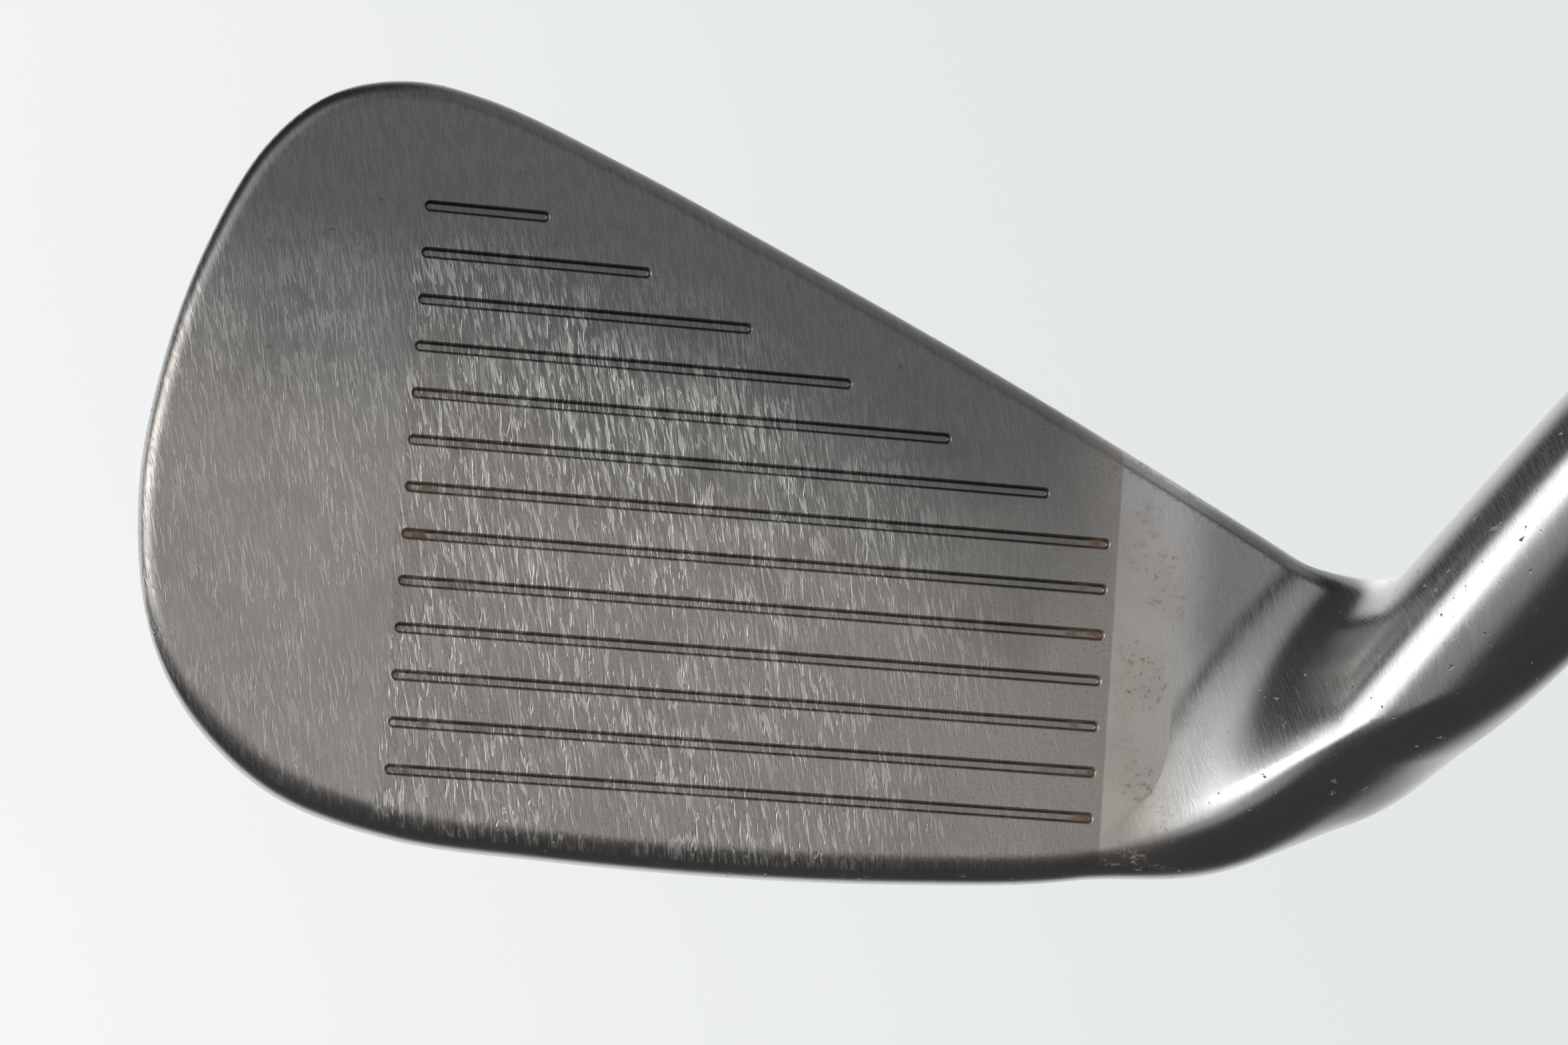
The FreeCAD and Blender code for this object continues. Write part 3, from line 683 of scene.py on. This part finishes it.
# ---- Local frames, all in mm and right-handed, with Z out of the surface ----
def frame_at(origin, x_axis, z_axis):
    z = Vector(z_axis).normalized()
    x = Vector(x_axis).normalized()
    turn = Matrix((x, z.cross(x), z)).transposed()
    return Matrix.Translation(origin) @ turn.to_4x4()


REAR = Vector((0, cos(LOFT), -sin(LOFT)))
UP_FACE = Vector((0, sin(LOFT), cos(LOFT)))
FACE_FRAME = frame_at(from_face(0, 0, 0), (1, 0, 0), -REAR)
BACK_FRAME = frame_at(from_face(0, 0, 0), (-1, 0, 0), REAR)
AXIS_FRAME = Matrix.Translation((AXIS_X, 0, 0)) @ Matrix.Rotation(pi / 2 - LIE, 4, "Y")
SCREW_FRAME = frame_at(from_face(SCREW_S, SCREW_T, -back_depth(SCREW_S, SCREW_T)), (-1, 0, 0),
                       UP_FACE * MUSCLE_SLOPE + REAR)


def carried(frame, points):
    """Points in mm moved from a local frame to row coordinates, still in mm."""
    matrix = np.array(frame)
    return np.array(points) @ matrix[:3, :3].T + matrix[:3, 3]


def uncarried(frame, points):
    return carried(frame.inverted(), points)


def mirrored(outline):
    """An outline as seen from behind the face."""
    return [(-s, t) for s, t in reversed(outline)]


def inset(loop, distance):
    """A smooth closed loop moved inward by a distance."""
    loop = np.array(loop)
    run = np.roll(loop, -1, 0) - np.roll(loop, 1, 0)
    run /= np.maximum(np.linalg.norm(run, axis=1), 1e-9)[:, None]
    side = np.stack([-run[:, 1], run[:, 0]], 1)
    nxt = np.roll(loop, -1, 0)
    turn = (loop[:, 0] * nxt[:, 1] - loop[:, 1] * nxt[:, 0]).sum()
    return loop + side * distance * (1 if turn > 0 else -1)


def place_piece(piece, node):
    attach(piece, "root")
    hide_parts(node)


def finish_piece(name, mesh, material, node, sharp_angle):
    shade(mesh, sharp_angle)
    mesh.materials.append(material)
    place_piece(link(name, mesh), node)


def stack(name, loops, frame, material, node, sharp_angle):
    """A piece walled through equal loops, each in local mm, from its underside to its top."""
    vertices, faces = closed_stack(loops)
    mesh = mesh_from(name, carried(frame, vertices) * MM, faces)
    finish_piece(name, mesh, material, node, sharp_angle)


def turned(name, profile, material, node, segments=96, sharp_angle=radians(35)):
    """A piece turned about the shaft's axis from a closed loop of radii and heights in mm."""
    mesh = mesh_from(name, *lathe(profile, segments))
    work = bmesh.new()
    work.from_mesh(mesh)
    bmesh.ops.remove_doubles(work, verts=work.verts, dist=1e-4)
    bmesh.ops.recalc_face_normals(work, faces=work.faces)
    work.to_mesh(mesh)
    work.free()
    mesh.transform(Matrix.Scale(MM, 4) @ AXIS_FRAME)
    finish_piece(name, mesh, material, node, sharp_angle)


# ---- Head body ----
SKIN_LOW, SKIN_HIGH = (-50.5, -9.5, -1.5), (82.0, 33.5, 66.5)     # a box that holds the form, in mm
SKIN_STEP = 0.5
WELD = 0.06                       # border points nearer than this become one


def nearest_on_loop(loop, points):
    best, spot = np.full(len(points), 1e9), np.zeros((len(points), 2))
    for start, end in zip(loop, np.roll(loop, -1, 0)):
        edge, away = end - start, points - start
        along = np.clip(away @ edge / (edge @ edge), 0, 1)[:, None]
        gap = ((away - along * edge) ** 2).sum(1)
        closer = gap < best
        best[closer] = gap[closer]
        spot[closer] = (start + along * edge)[closer]
    return spot


def border_loops(work):
    """Ordered loops of vertices round the openings of a mesh."""
    edges = {e for e in work.edges if e.is_boundary}
    loops = []
    while edges:
        edge = edges.pop()
        loop = [edge.verts[0], edge.verts[1]]
        while loop[-1] is not loop[0]:
            step = next(e for e in loop[-1].link_edges if e in edges)
            edges.discard(step)
            loop.append(step.other_vert(loop[-1]))
        loops.append(loop[:-1])
    return loops


def open_skin(work, frame, outline, reach, beyond=False):
    """Removes the skin within an outline, or past its plane, and draws the border onto it."""
    work.verts.index_update()
    local = uncarried(frame, [v.co for v in work.verts])
    outline = np.array(outline)
    near = np.flatnonzero(np.abs(local[:, 2]) < reach)
    gap = loop_distance(outline, local[near, :2])
    taken = (gap < reach) & (local[near, 2] > 0) if beyond else gap < 0
    inside = np.zeros(len(local), bool)
    inside[near] = taken
    doomed = [f for f in work.faces if any(inside[v.index] for v in f.verts)]
    bmesh.ops.delete(work, geom=doomed, context="FACES")
    pinched = True
    while pinched:
        pinched = [v for v in work.verts if sum(e.is_boundary for e in v.link_edges) > 2]
        spare = list({f for v in pinched for f in v.link_faces})
        bmesh.ops.delete(work, geom=spare, context="FACES")
    bmesh.ops.delete(work, geom=[v for v in work.verts if not v.link_faces], context="VERTS")
    border = max(border_loops(work), key=len)
    local = uncarried(frame, [v.co for v in border])
    local[:, :2] = nearest_on_loop(outline, local[:, :2])
    local[:, 2] = 0
    for vertex, place in zip(border, carried(frame, local)):
        vertex.co = place
    bmesh.ops.remove_doubles(work, verts=border, dist=WELD)
    return max(border_loops(work), key=len)


def wall_in(work, border, frame, levels):
    """Walls and a floor under a border; each level is an inset and a height in local mm."""
    local = uncarried(frame, [v.co for v in border])
    nxt = np.roll(local, -1, 0)
    if (local[:, 0] * nxt[:, 1] - local[:, 1] * nxt[:, 0]).sum() < 0:
        border, local = border[::-1], local[::-1]
    made, ring = [], border
    for distance, height in levels:
        places = at_height(inset(local[:, :2], distance), height)
        low = [work.verts.new(p) for p in carried(frame, places)]
        for i in range(len(ring)):
            j = (i + 1) % len(ring)
            made.append(work.faces.new((ring[i], ring[j], low[j], low[i])))
        ring = low
    made.append(work.faces.new(ring))
    return local[:, :2], made


def form_normals(mesh, flat):
    """The form's own normals on its skin, and each face's own on walls and floors."""
    count = len(mesh.vertices)
    points = np.empty(count * 3)
    mesh.vertices.foreach_get("co", points)
    slopes = gradient(points.reshape(-1, 3) / MM)
    slopes /= np.maximum(np.linalg.norm(slopes, axis=1), 1e-9)[:, None]
    corner = np.empty(len(mesh.loops), int)
    mesh.loops.foreach_get("vertex_index", corner)
    sides = np.empty(len(mesh.polygons), int)
    mesh.polygons.foreach_get("loop_total", sides)
    owner = np.repeat(np.arange(len(sides)), sides)
    facing = np.empty(len(sides) * 3)
    mesh.polygons.foreach_get("normal", facing)
    facing = facing.reshape(-1, 3)
    normals = np.where(flat[owner][:, None], facing[owner], slopes[corner])
    mesh.normals_split_custom_set(normals.tolist())


def make_head():
    """The forged body: the form's skin, opened for the plate, the badge, the screw and the shaft."""
    vertices, quads = surface_nets(SKIN_LOW, SKIN_HIGH, SKIN_STEP)
    vertices = settle(vertices)
    work = bmesh.new()
    made = [work.verts.new(v) for v in vertices]
    for quad in quads.tolist():
        work.faces.new([made[i] for i in quad])
    flat = set()
    plate_border = open_skin(work, FACE_FRAME, rounded(PLATE, PLATE_CORNER_R), 0.3)
    plate_line, walls = wall_in(work, plate_border, FACE_FRAME, [(0, -PLATE_THICKNESS)])
    flat.update(walls)

    badge_top = TOPLINE_DEPTH - 0.1
    badge_frame = BACK_FRAME @ Matrix.Translation((0, 0, badge_top))
    badge_line = inset(rounded(mirrored(BADGE), BADGE_CORNER_R), -BADGE_GAP)
    badge_border = open_skin(work, badge_frame, badge_line, 1.2)
    flat.update(wall_in(work, badge_border, badge_frame, [(0, BADGE_FLOOR - badge_top)])[1])

    seat = -SCREW_SINK - SCREW_HEAD_H - WASHER_THICKNESS
    screw_border = open_skin(work, SCREW_FRAME, circle(SCREW_HEAD_R + SCREW_CLEARANCE), 1.5)
    flat.update(wall_in(work, screw_border, SCREW_FRAME, [(0, seat)])[1])

    mouth = AXIS_FRAME @ Matrix.Translation((0, 0, HOSEL_TOP))
    mouth_border = open_skin(work, mouth, circle(HOSEL_R_TOP), SPARE + 2, beyond=True)
    levels = [(HOSEL_R_TOP - CONE_R, 0), (HOSEL_R_TOP - BORE_R, -CONE_DEPTH),
              (HOSEL_R_TOP - BORE_R, BORE_BOTTOM - HOSEL_TOP)]
    flat.update(wall_in(work, mouth_border, mouth, levels)[1])

    mark = work.faces.layers.int.new("flat")
    for face in work.faces:
        face[mark] = face in flat
        face.smooth = True
    mesh = bpy.data.meshes.new("forged_head")
    work.to_mesh(mesh)
    work.free()
    mesh.transform(Matrix.Scale(MM, 4))
    flags = np.zeros(len(mesh.polygons), int)
    mesh.attributes["flat"].data.foreach_get("value", flags)
    form_normals(mesh, flags > 0)
    mesh.attributes.remove(mesh.attributes["flat"])
    mesh.materials.append(STEEL)
    place_piece(link("forged_head", mesh), "head_body")
    return plate_line


# ---- Scored face plate ----
def group(name, values):
    """A geometry tree with an input for each value: the tree, its inputs, and its result's socket."""
    tree = bpy.data.node_groups.new(name, "GeometryNodeTree")
    kinds = {label: value.bl_rna.identifier if isinstance(value, bpy.types.ID) else
             type(value).__name__.title() for label, value in values.items()}
    for label, kind in {"Geometry": "Geometry", **kinds}.items():
        tree.interface.new_socket(label, in_out="INPUT", socket_type="NodeSocket" + kind)
    tree.interface.new_socket("Geometry", in_out="OUTPUT", socket_type="NodeSocketGeometry")
    sockets = add(tree, "NodeGroupInput").outputs
    given = {label: Number(sockets[label]) if kind in ("Int", "Float") else sockets[label]
             for label, kind in kinds.items()}
    given["Geometry"] = sockets["Geometry"]
    return tree, given, add(tree, "NodeGroupOutput").inputs[0]


def grown(name, piece, make_tree, values):
    """Runs a geometry tree on a helper piece and returns the plain mesh that it makes."""
    tree = make_tree(values)
    modifier = piece.modifiers.new(tree.name, "NODES")
    modifier.node_group = tree
    for item in tree.interface.items_tree:
        if item.item_type == "SOCKET" and item.in_out == "INPUT" and item.name in values:
            modifier[item.identifier] = values[item.name]
    graph = bpy.context.evaluated_depsgraph_get()
    graph.update()
    made = bpy.data.meshes.new_from_object(piece.evaluated_get(graph), depsgraph=graph)
    for helper in [piece] + [v for v in values.values() if isinstance(v, bpy.types.Object)]:
        bpy.data.objects.remove(helper)
    made.name = name
    return made


def score_line_tree(values):
    """Cuts a column of score lines, shorter towards the top, into a flat plate in face coordinates."""
    tree, given, output = group("score_lines", values)
    start = given["Toe End"] + given["Width"] * 0.5
    column = result(tree, "GeometryNodeMeshLine",
                    {"Count": given["Lines"], "Start Location": vector_of(tree, x=start),
                     "Offset": vector_of(tree, y=given["Pitch"])}, mode="OFFSET")
    kept = result(tree, "GeometryNodeStoreNamedAttribute",
                  {"Geometry": column, "Name": "line", "Value": result(tree, "GeometryNodeInputIndex")},
                  data_type="INT")
    cutter = add(tree, "GeometryNodeObjectInfo", {"Object": given["Cutter"]}).outputs["Geometry"]
    placed = result(tree, "GeometryNodeInstanceOnPoints", {"Points": kept, "Instance": cutter})
    solid = result(tree, "GeometryNodeRealizeInstances", {"Geometry": placed})
    line = Number(result(tree, "GeometryNodeInputNamedAttribute", {"Name": "line"}, data_type="INT"))
    length = given["Top Length"] + (given["Lines"] - 1.0 - line) * given["Length Step"]
    length = length.step("MINIMUM", length, given["Full Length"])
    spot = numbers_of(result(tree, "GeometryNodeInputPosition"))
    heel_half = result(tree, "FunctionNodeCompare", {0: spot[0], 1: start},
                       data_type="FLOAT", operation="GREATER_THAN")
    move = vector_of(tree, x=length - given["Width"])
    drawn = result(tree, "GeometryNodeSetPosition",
                   {"Geometry": solid, "Selection": heel_half, "Offset": move})
    cut = result(tree, "GeometryNodeMeshBoolean", {0: given["Geometry"], 1: drawn},
                 operation="DIFFERENCE", solver="EXACT")
    feed(output, result(tree, "GeometryNodeSetMaterial", {"Geometry": cut, "Material": given["Steel"]}))
    return tree


# the line's section from its rolled shoulder to its floor: radius, height over the face
GROOVE_SECTION = [(GROOVE_FLOOR / 2, -GROOVE_DEPTH), (0.24, -0.385), (0.29, -0.33), (0.36, -0.13),
                  (0.40, -0.05), (0.45, -0.012), (0.52, 0.012), (0.52, 0.3)]


def make_face_plate(line):
    slab_mesh = mesh_from("plate_blank", *closed_stack([at_height(line, -PLATE_THICKNESS),
                                                        at_height(line, 0.0)]))
    blank = link("plate_blank", slab_mesh)
    section = [at_height(circle(r, 16), h) for r, h in GROOVE_SECTION]
    cutter = link("score_cutter", mesh_from("score_cutter", *closed_stack(section)))
    mesh = grown("scored_face", blank, score_line_tree, {
        "Cutter": cutter, "Lines": GROOVE_COUNT, "Pitch": GROOVE_PITCH, "Toe End": TOE_END,
        "Full Length": FULL_LENGTH, "Top Length": TOP_GROOVE_LENGTH, "Length Step": GROOVE_STEP,
        "Width": GROOVE_WIDTH, "Steel": STEEL})
    shade(mesh, radians(40))
    sharp = np.zeros(len(mesh.edges), bool)
    mesh.attributes["sharp_edge"].data.foreach_get("value", sharp)
    index = {key: i for i, key in enumerate(mesh.edge_keys)}
    for polygon in mesh.polygons:
        if abs(polygon.normal.z) > 0.99999:
            for key in polygon.edge_keys:
                sharp[index[key]] = True
    mesh.attributes["sharp_edge"].data.foreach_set("value", sharp)
    mesh.transform(Matrix.Scale(MM, 4) @ FACE_FRAME)
    place_piece(link("scored_face", mesh), "face_plate")


make_face_plate(make_head())


# ---- Back badge and port screw ----
def make_badge():
    """A plain plaque with a rolled edge and one fine line let in round its rim."""
    outline = np.array(rounded(mirrored(BADGE), BADGE_CORNER_R))
    low = BADGE_FLOOR + BADGE_TAPE
    high = low + BADGE_THICKNESS
    steps = [(0, low), (0, high - 0.3), (0.08, high - 0.1), (0.3, high), (1.2, high),
             (1.3, high - 0.14), (1.5, high - 0.14), (1.6, high)]
    loops = [at_height(inset(outline, d), h) for d, h in steps]
    stack("back_plaque", loops, BACK_FRAME, BADGE_FINISH, "back_badge", radians(50))


def hexagon(across, count):
    """A hexagon with the same number of points on each side."""
    radius = across / 2 / cos(pi / 6)
    corners = [Vector((radius * cos(pi / 3 * i), radius * sin(pi / 3 * i))) for i in range(7)]
    each = count // 6
    return np.array([corners[i].lerp(corners[i + 1], k / each) for i in range(6) for k in range(each)])


def make_screw():
    sides = 48
    ring = circle(1.0, sides, 0.0)
    under = -SCREW_SINK - SCREW_HEAD_H
    top = -SCREW_SINK
    rounds = [(SCREW_R, under - SCREW_LENGTH), (SCREW_R, under), (SCREW_HEAD_R, under),
              (SCREW_HEAD_R, top - 0.5), (SCREW_HEAD_R - 0.12, top - 0.2), (SCREW_HEAD_R - 0.45, top),
              (2.25, top), (2.15, top - 0.06), (2.05, top)]
    loops = [at_height(ring * r, h) for r, h in rounds]
    socket = hexagon(HEX_ACROSS, sides)
    loops += [at_height(socket * 1.06, top), at_height(socket, top - 0.12),
              at_height(socket, top - HEX_DEPTH)]
    stack("socket_screw", loops, SCREW_FRAME, SCREW_STEEL, "port_screw", radians(30))


make_badge()
make_screw()


# ---- Shaft, ferrule and band ----
def shaft_outline():
    """Outer corners of the stepped tube, with each step's two bends rounded."""
    rise = (SHAFT_BUTT_R - SHAFT_TIP_R) / SHAFT_STEPS
    corners = [(SHAFT_TIP_R, SHAFT_LOW)]
    for i in range(SHAFT_STEPS):
        middle = FIRST_STEP + i * STEP_PITCH
        for k in range(7):
            share = k / 6
            lift = share * share * (3 - 2 * share)
            corners.append((SHAFT_TIP_R + (i + lift) * rise, middle + (share - 0.5) * STEP_RAMP))
    return corners + [(SHAFT_BUTT_R, SHAFT_TOP)]


def wall_at(radius):
    share = (radius - SHAFT_TIP_R) / (SHAFT_BUTT_R - SHAFT_TIP_R)
    return SHAFT_TIP_WALL + (SHAFT_BUTT_WALL - SHAFT_TIP_WALL) * share


def ferrule_radius(height):
    left = 1 - height / FERRULE_LENGTH
    return FERRULE_TOP_R + (HOSEL_R_TOP - FERRULE_TOP_R) * left ** FERRULE_CURVE


def make_shaft():
    outer = shaft_outline()
    inner = [(r - wall_at(r), h) for r, h in reversed(outer)]
    turned("stepped_shaft", outer + inner, CHROME, "shaft", 80)
    inside = SHAFT_TIP_R + (SHAFT_BUTT_R - SHAFT_TIP_R) / SHAFT_STEPS * 10
    over, high = inside + BAND_THICKNESS, BAND_LOW + BAND_LENGTH
    band = [(inside, BAND_LOW), (over - 0.04, BAND_LOW), (over, BAND_LOW + 0.05),
            (over, high - 0.05), (over - 0.04, high), (inside, high)]
    turned("shaft_wrap", band, FILM, "shaft_band", 80)


def make_ferrule():
    """The tapered collar with its two let-in rings, each a hair proud with broken edges."""
    top = HOSEL_TOP + FERRULE_LENGTH
    lows = sorted(RING_HEIGHTS.values())
    heights = set(np.linspace(0, FERRULE_LENGTH, 40).round(3).tolist())
    for low in lows:
        heights = {h for h in heights if not low <= h <= low + RING_WIDTH}
    outer = [(ferrule_radius(h), HOSEL_TOP + h) for h in heights]
    for low in lows:
        seat = ferrule_radius(low) - RING_DEPTH
        high = low + RING_WIDTH
        outer += [(ferrule_radius(low), HOSEL_TOP + low), (ferrule_radius(high), HOSEL_TOP + high)]
        outer += [(seat, HOSEL_TOP + low + 1e-4), (seat, HOSEL_TOP + high - 1e-4)]
    outer.sort(key=lambda corner: corner[1])
    inner = [(SHAFT_TIP_R, top), (SHAFT_TIP_R, HOSEL_TOP)]
    turned("ferrule_collar", outer + inner, PLASTIC, "ferrule")
    for node, low in RING_HEIGHTS.items():
        seat = ferrule_radius(low) - RING_DEPTH
        r_low, r_high = ferrule_radius(low), ferrule_radius(low + RING_WIDTH)
        low, high = HOSEL_TOP + low, HOSEL_TOP + low + RING_WIDTH
        ring = [(seat, low), (r_low - 0.1, low), (r_low + 0.03, low + 0.15), (r_low + 0.05, low + 0.4),
                (r_high + 0.05, high - 0.4), (r_high + 0.03, high - 0.15), (r_high - 0.1, high), (seat, high)]
        turned(node.replace("ferrule_ring", "trim_ring"), ring, TRIM, node)


make_shaft()
make_ferrule()


# ---- Grip ----
PAD_DEPTH, PAD_LENGTH, PAD_WIDTH = 0.4, 3.9, 2.3
PAD_ROWS, PADS_ROUND, PAD_PITCH = 108, 20, 2.2
PADS_LOW = GRIP_MOUTH + 14.0


def grip_radius(height):
    share = (height - GRIP_MOUTH) / (SHAFT_TOP - GRIP_MOUTH)
    return GRIP_MOUTH_R + (GRIP_BUTT_R - GRIP_MOUTH_R) * share ** GRIP_FLARE


def pad_tree(values):
    """Rows of raised pads round a flared sleeve, each row turned half a pad from the last."""
    tree, given, output = group("grip_pads", values)
    around, mouth, butt = given["Around"], given["Mouth Radius"], given["Butt Radius"]
    points = result(tree, "GeometryNodePoints", {"Count": given["Rows"] * around})
    index = Number(result(tree, "GeometryNodeInputIndex"))
    row = index / around
    row = row.step("FLOOR", row)
    column = index.step("MODULO", index, around)
    angle = (column + row.step("MODULO", row, 2.0) * 0.5) / around * (2 * pi)
    height = given["Low"] + row * given["Row Pitch"]
    share = (height - given["Mouth"]) / (given["Top"] - given["Mouth"])
    radius = mouth + (butt - mouth) * share.step("POWER", share, given["Flare"])
    spot = vector_of(tree, radius * angle.step("COSINE", angle), radius * angle.step("SINE", angle), height)
    placed = result(tree, "GeometryNodeSetPosition", {"Geometry": points, "Position": spot})
    pad = add(tree, "GeometryNodeObjectInfo", {"Object": given["Pad"]}).outputs["Geometry"]
    turn = result(tree, "FunctionNodeEulerToRotation", {0: vector_of(tree, z=angle)})
    size = vector_of(tree, 1.0, radius / butt, 1.0)
    pads = result(tree, "GeometryNodeInstanceOnPoints",
                  {"Points": placed, "Instance": pad, "Rotation": turn, "Scale": size})
    joined = add(tree, "GeometryNodeJoinGeometry")
    feed(joined.inputs[0], result(tree, "GeometryNodeRealizeInstances", {"Geometry": pads}))
    feed(joined.inputs[0], given["Geometry"])
    feed(output, result(tree, "GeometryNodeSetMaterial",
                        {"Geometry": joined.outputs[0], "Material": given["Rubber"]}))
    return tree


def pad_shape():
    """One raised diamond, its top at the sleeve's full radius and its foot let into the wall."""
    def diamond(half_width, half_length, x):
        corner = 0.32
        flat = [(half_width, -half_length * corner), (half_width, half_length * corner),
                (half_width * corner, half_length), (-half_width * corner, half_length),
                (-half_width, half_length * corner), (-half_width, -half_length * corner),
                (-half_width * corner, -half_length), (half_width * corner, -half_length)]
        return np.array([(x, y, z) for y, z in flat])
    w, h = PAD_WIDTH / 2, PAD_LENGTH / 2
    loops = [diamond(w, h, -PAD_DEPTH - 0.25), diamond(w - 0.06, h - 0.08, -0.16),
             diamond(w - 0.28, h - 0.36, 0.0)]
    return closed_stack(loops)


def make_grip():
    """The sleeve with its lip, moulded pads and plain ends, and the cap with its vent."""
    tape_low, tape_r = GRIP_MOUTH + TAPE_START, SHAFT_BUTT_R + TAPE_THICKNESS
    start = GRIP_MOUTH + 2 * GRIP_LIP_LENGTH
    outer = [(GRIP_LIP_R - 0.6, GRIP_MOUTH), (GRIP_LIP_R - 0.25, GRIP_MOUTH + 0.12),
             (GRIP_LIP_R, GRIP_MOUTH + 0.6), (GRIP_LIP_R, GRIP_MOUTH + GRIP_LIP_LENGTH - 0.5),
             (GRIP_LIP_R - 0.2, GRIP_MOUTH + GRIP_LIP_LENGTH)]
    pads_high = PADS_LOW + (PAD_ROWS - 1) * PAD_PITCH
    for height in np.linspace(start, SHAFT_TOP, 140):
        sunk = ease(height, PADS_LOW - 4.5, PADS_LOW - 3.0)
        sunk *= ease(-height, -pads_high - 4.5, -pads_high - 3.0)
        outer.append((grip_radius(height) - PAD_DEPTH * float(sunk), float(height)))
    inner = [(tape_r, SHAFT_TOP), (tape_r, tape_low), (SHAFT_BUTT_R, tape_low), (SHAFT_BUTT_R, GRIP_MOUTH)]
    wall = link("sleeve_wall", mesh_from("sleeve_wall", *lathe(outer + inner, 96)))
    pad = link("pad_shape", mesh_from("pad_shape", *pad_shape()))
    mesh = grown("moulded_grip", wall, pad_tree, {
        "Pad": pad, "Rows": PAD_ROWS, "Around": PADS_ROUND, "Row Pitch": PAD_PITCH, "Low": PADS_LOW,
        "Mouth": GRIP_MOUTH, "Top": SHAFT_TOP, "Mouth Radius": GRIP_MOUTH_R, "Butt Radius": GRIP_BUTT_R,
        "Flare": GRIP_FLARE, "Rubber": RUBBER})
    mesh.transform(Matrix.Scale(MM, 4) @ AXIS_FRAME)
    shade(mesh, radians(38))
    place_piece(link("moulded_grip", mesh), "grip_sleeve")

    top = CLUB_LENGTH
    cap = [(VENT_R, SHAFT_TOP), (GRIP_BUTT_R, SHAFT_TOP), (GRIP_BUTT_R, top - CAP_EDGE_R)]
    for k in range(1, 9):
        angle = pi / 2 * k / 8
        cap.append((GRIP_BUTT_R - CAP_EDGE_R * (1 - cos(angle)), top - CAP_EDGE_R * (1 - sin(angle))))
    cap += [(9.6, top), (9.4, top - 0.35), (8.9, top - 0.35), (8.7, top), (2.6, top), (2.2, top - 0.1),
            (VENT_R + 0.2, top - 0.45), (VENT_R, top - 0.8)]
    turned("grip_end_cap", cap, HARD_RUBBER, "grip_cap", 96, radians(30))


make_grip()

# pieces that stay as they are and only get a finish
KEPT_NODES = {"port_washer": BRASS, "core_foam": FOAM, "toe_weight": TUNGSTEN, "badge_tape": TAPE,
              "hosel_epoxy": EPOXY, "tip_weight": TUNGSTEN, "tip_plug": PLASTIC, "grip_tape": TAPE}
for node_name, finish in KEPT_NODES.items():
    kept_mesh = frame["nodes"][node_name].data
    kept_mesh.materials.clear()
    kept_mesh.materials.append(finish)


# ---- Studio ----
FLOOR_HALF, FLOOR_LEVEL = 6, -0.3     # metres


def make_floor():
    corners = [(-1, -1), (1, -1), (1, 1), (-1, 1)]
    mesh = mesh_from("floor", [(x * FLOOR_HALF, y * FLOOR_HALF, FLOOR_LEVEL) for x, y in corners],
                     [(0, 1, 2, 3)])
    material, tree, shader = new_material("pale_seamless_paper")
    feed(shader["Base Color"], srgb("808182"))
    feed(shader["Roughness"], 0.9)
    place = object_place(tree)
    x, y, _ = numbers_of(place)
    away = add(tree, "ShaderNodeVectorMath", {0: place}, operation="LENGTH").outputs["Value"]
    # painted light: the floor glows, brighter towards the front and the toe side, darker further back and
    # towards the heel side, and far off it fades to the backdrop's pale
    painted_floor_glow = mix(ramp(y, 0.1, 0.75), srgb("f1f2f2"), srgb("eaebed"))
    painted_floor_glow = mix(ramp(x, -0.12, 0.3), painted_floor_glow, srgb("d8dbdc"))
    feed(shader["Emission Color"], mix(ramp(Number(away), 1.3, 4.0), painted_floor_glow, srgb("e4e5e7")))
    feed(shader["Emission Strength"], 1.0)
    mesh.materials.append(material)
    floor = link("floor", mesh)
    floor.visible_glossy = False


# each soft light: its direction round from the front, towards the heel, and up, in degrees; how far
# it is full and where it has faded out; and its strength
SOFT_LIGHTS = [(-74, 12, 5, 21, 2.0), (-57, 27, 7, 20, 1.3), (-116, -12, 8, 22, 0.6),
               (-42, 46, 14, 37, 0.6), (-28, 18, 10, 32, 0.3), (20, 24, 4, 23, 0.57),
               (90, 48, 10, 45, 0.35), (150, 12, 20, 46, 0.6), (-175, -38, 30, 62, 0.8)]
SURROUND = 0.05


def make_world():
    """A dark room with large soft lights; what the camera sees past the floor is plain pale."""
    world = bpy.data.worlds.new("studio")
    bpy.context.scene.world = world
    world.use_nodes = True
    tree = world.node_tree
    tree.nodes.clear()
    direction = add(tree, "ShaderNodeTexCoord").outputs["Generated"]
    total = SURROUND
    for turn, lift, full, faded, strength in SOFT_LIGHTS:
        turn, lift = radians(turn), radians(lift)
        aim = (sin(turn) * cos(lift), -cos(turn) * cos(lift), sin(lift))
        near = add(tree, "ShaderNodeVectorMath", {0: direction, 1: aim}, operation="DOT_PRODUCT")
        glow = ramp(Number(near.outputs["Value"]), cos(radians(faded)), cos(radians(full)))
        total = glow * strength + total
    seen = Number(add(tree, "ShaderNodeLightPath").outputs["Is Camera Ray"])
    sky = result(tree, "ShaderNodeBackground", {"Color": mix(seen, srgb("ffffff"), srgb("f0f1f2")),
                                                "Strength": blend(seen, total, 1.0)})
    add(tree, "ShaderNodeOutputWorld", {"Surface": sky})


bpy.context.scene.view_settings.view_transform = "Standard"
make_floor()
make_world()
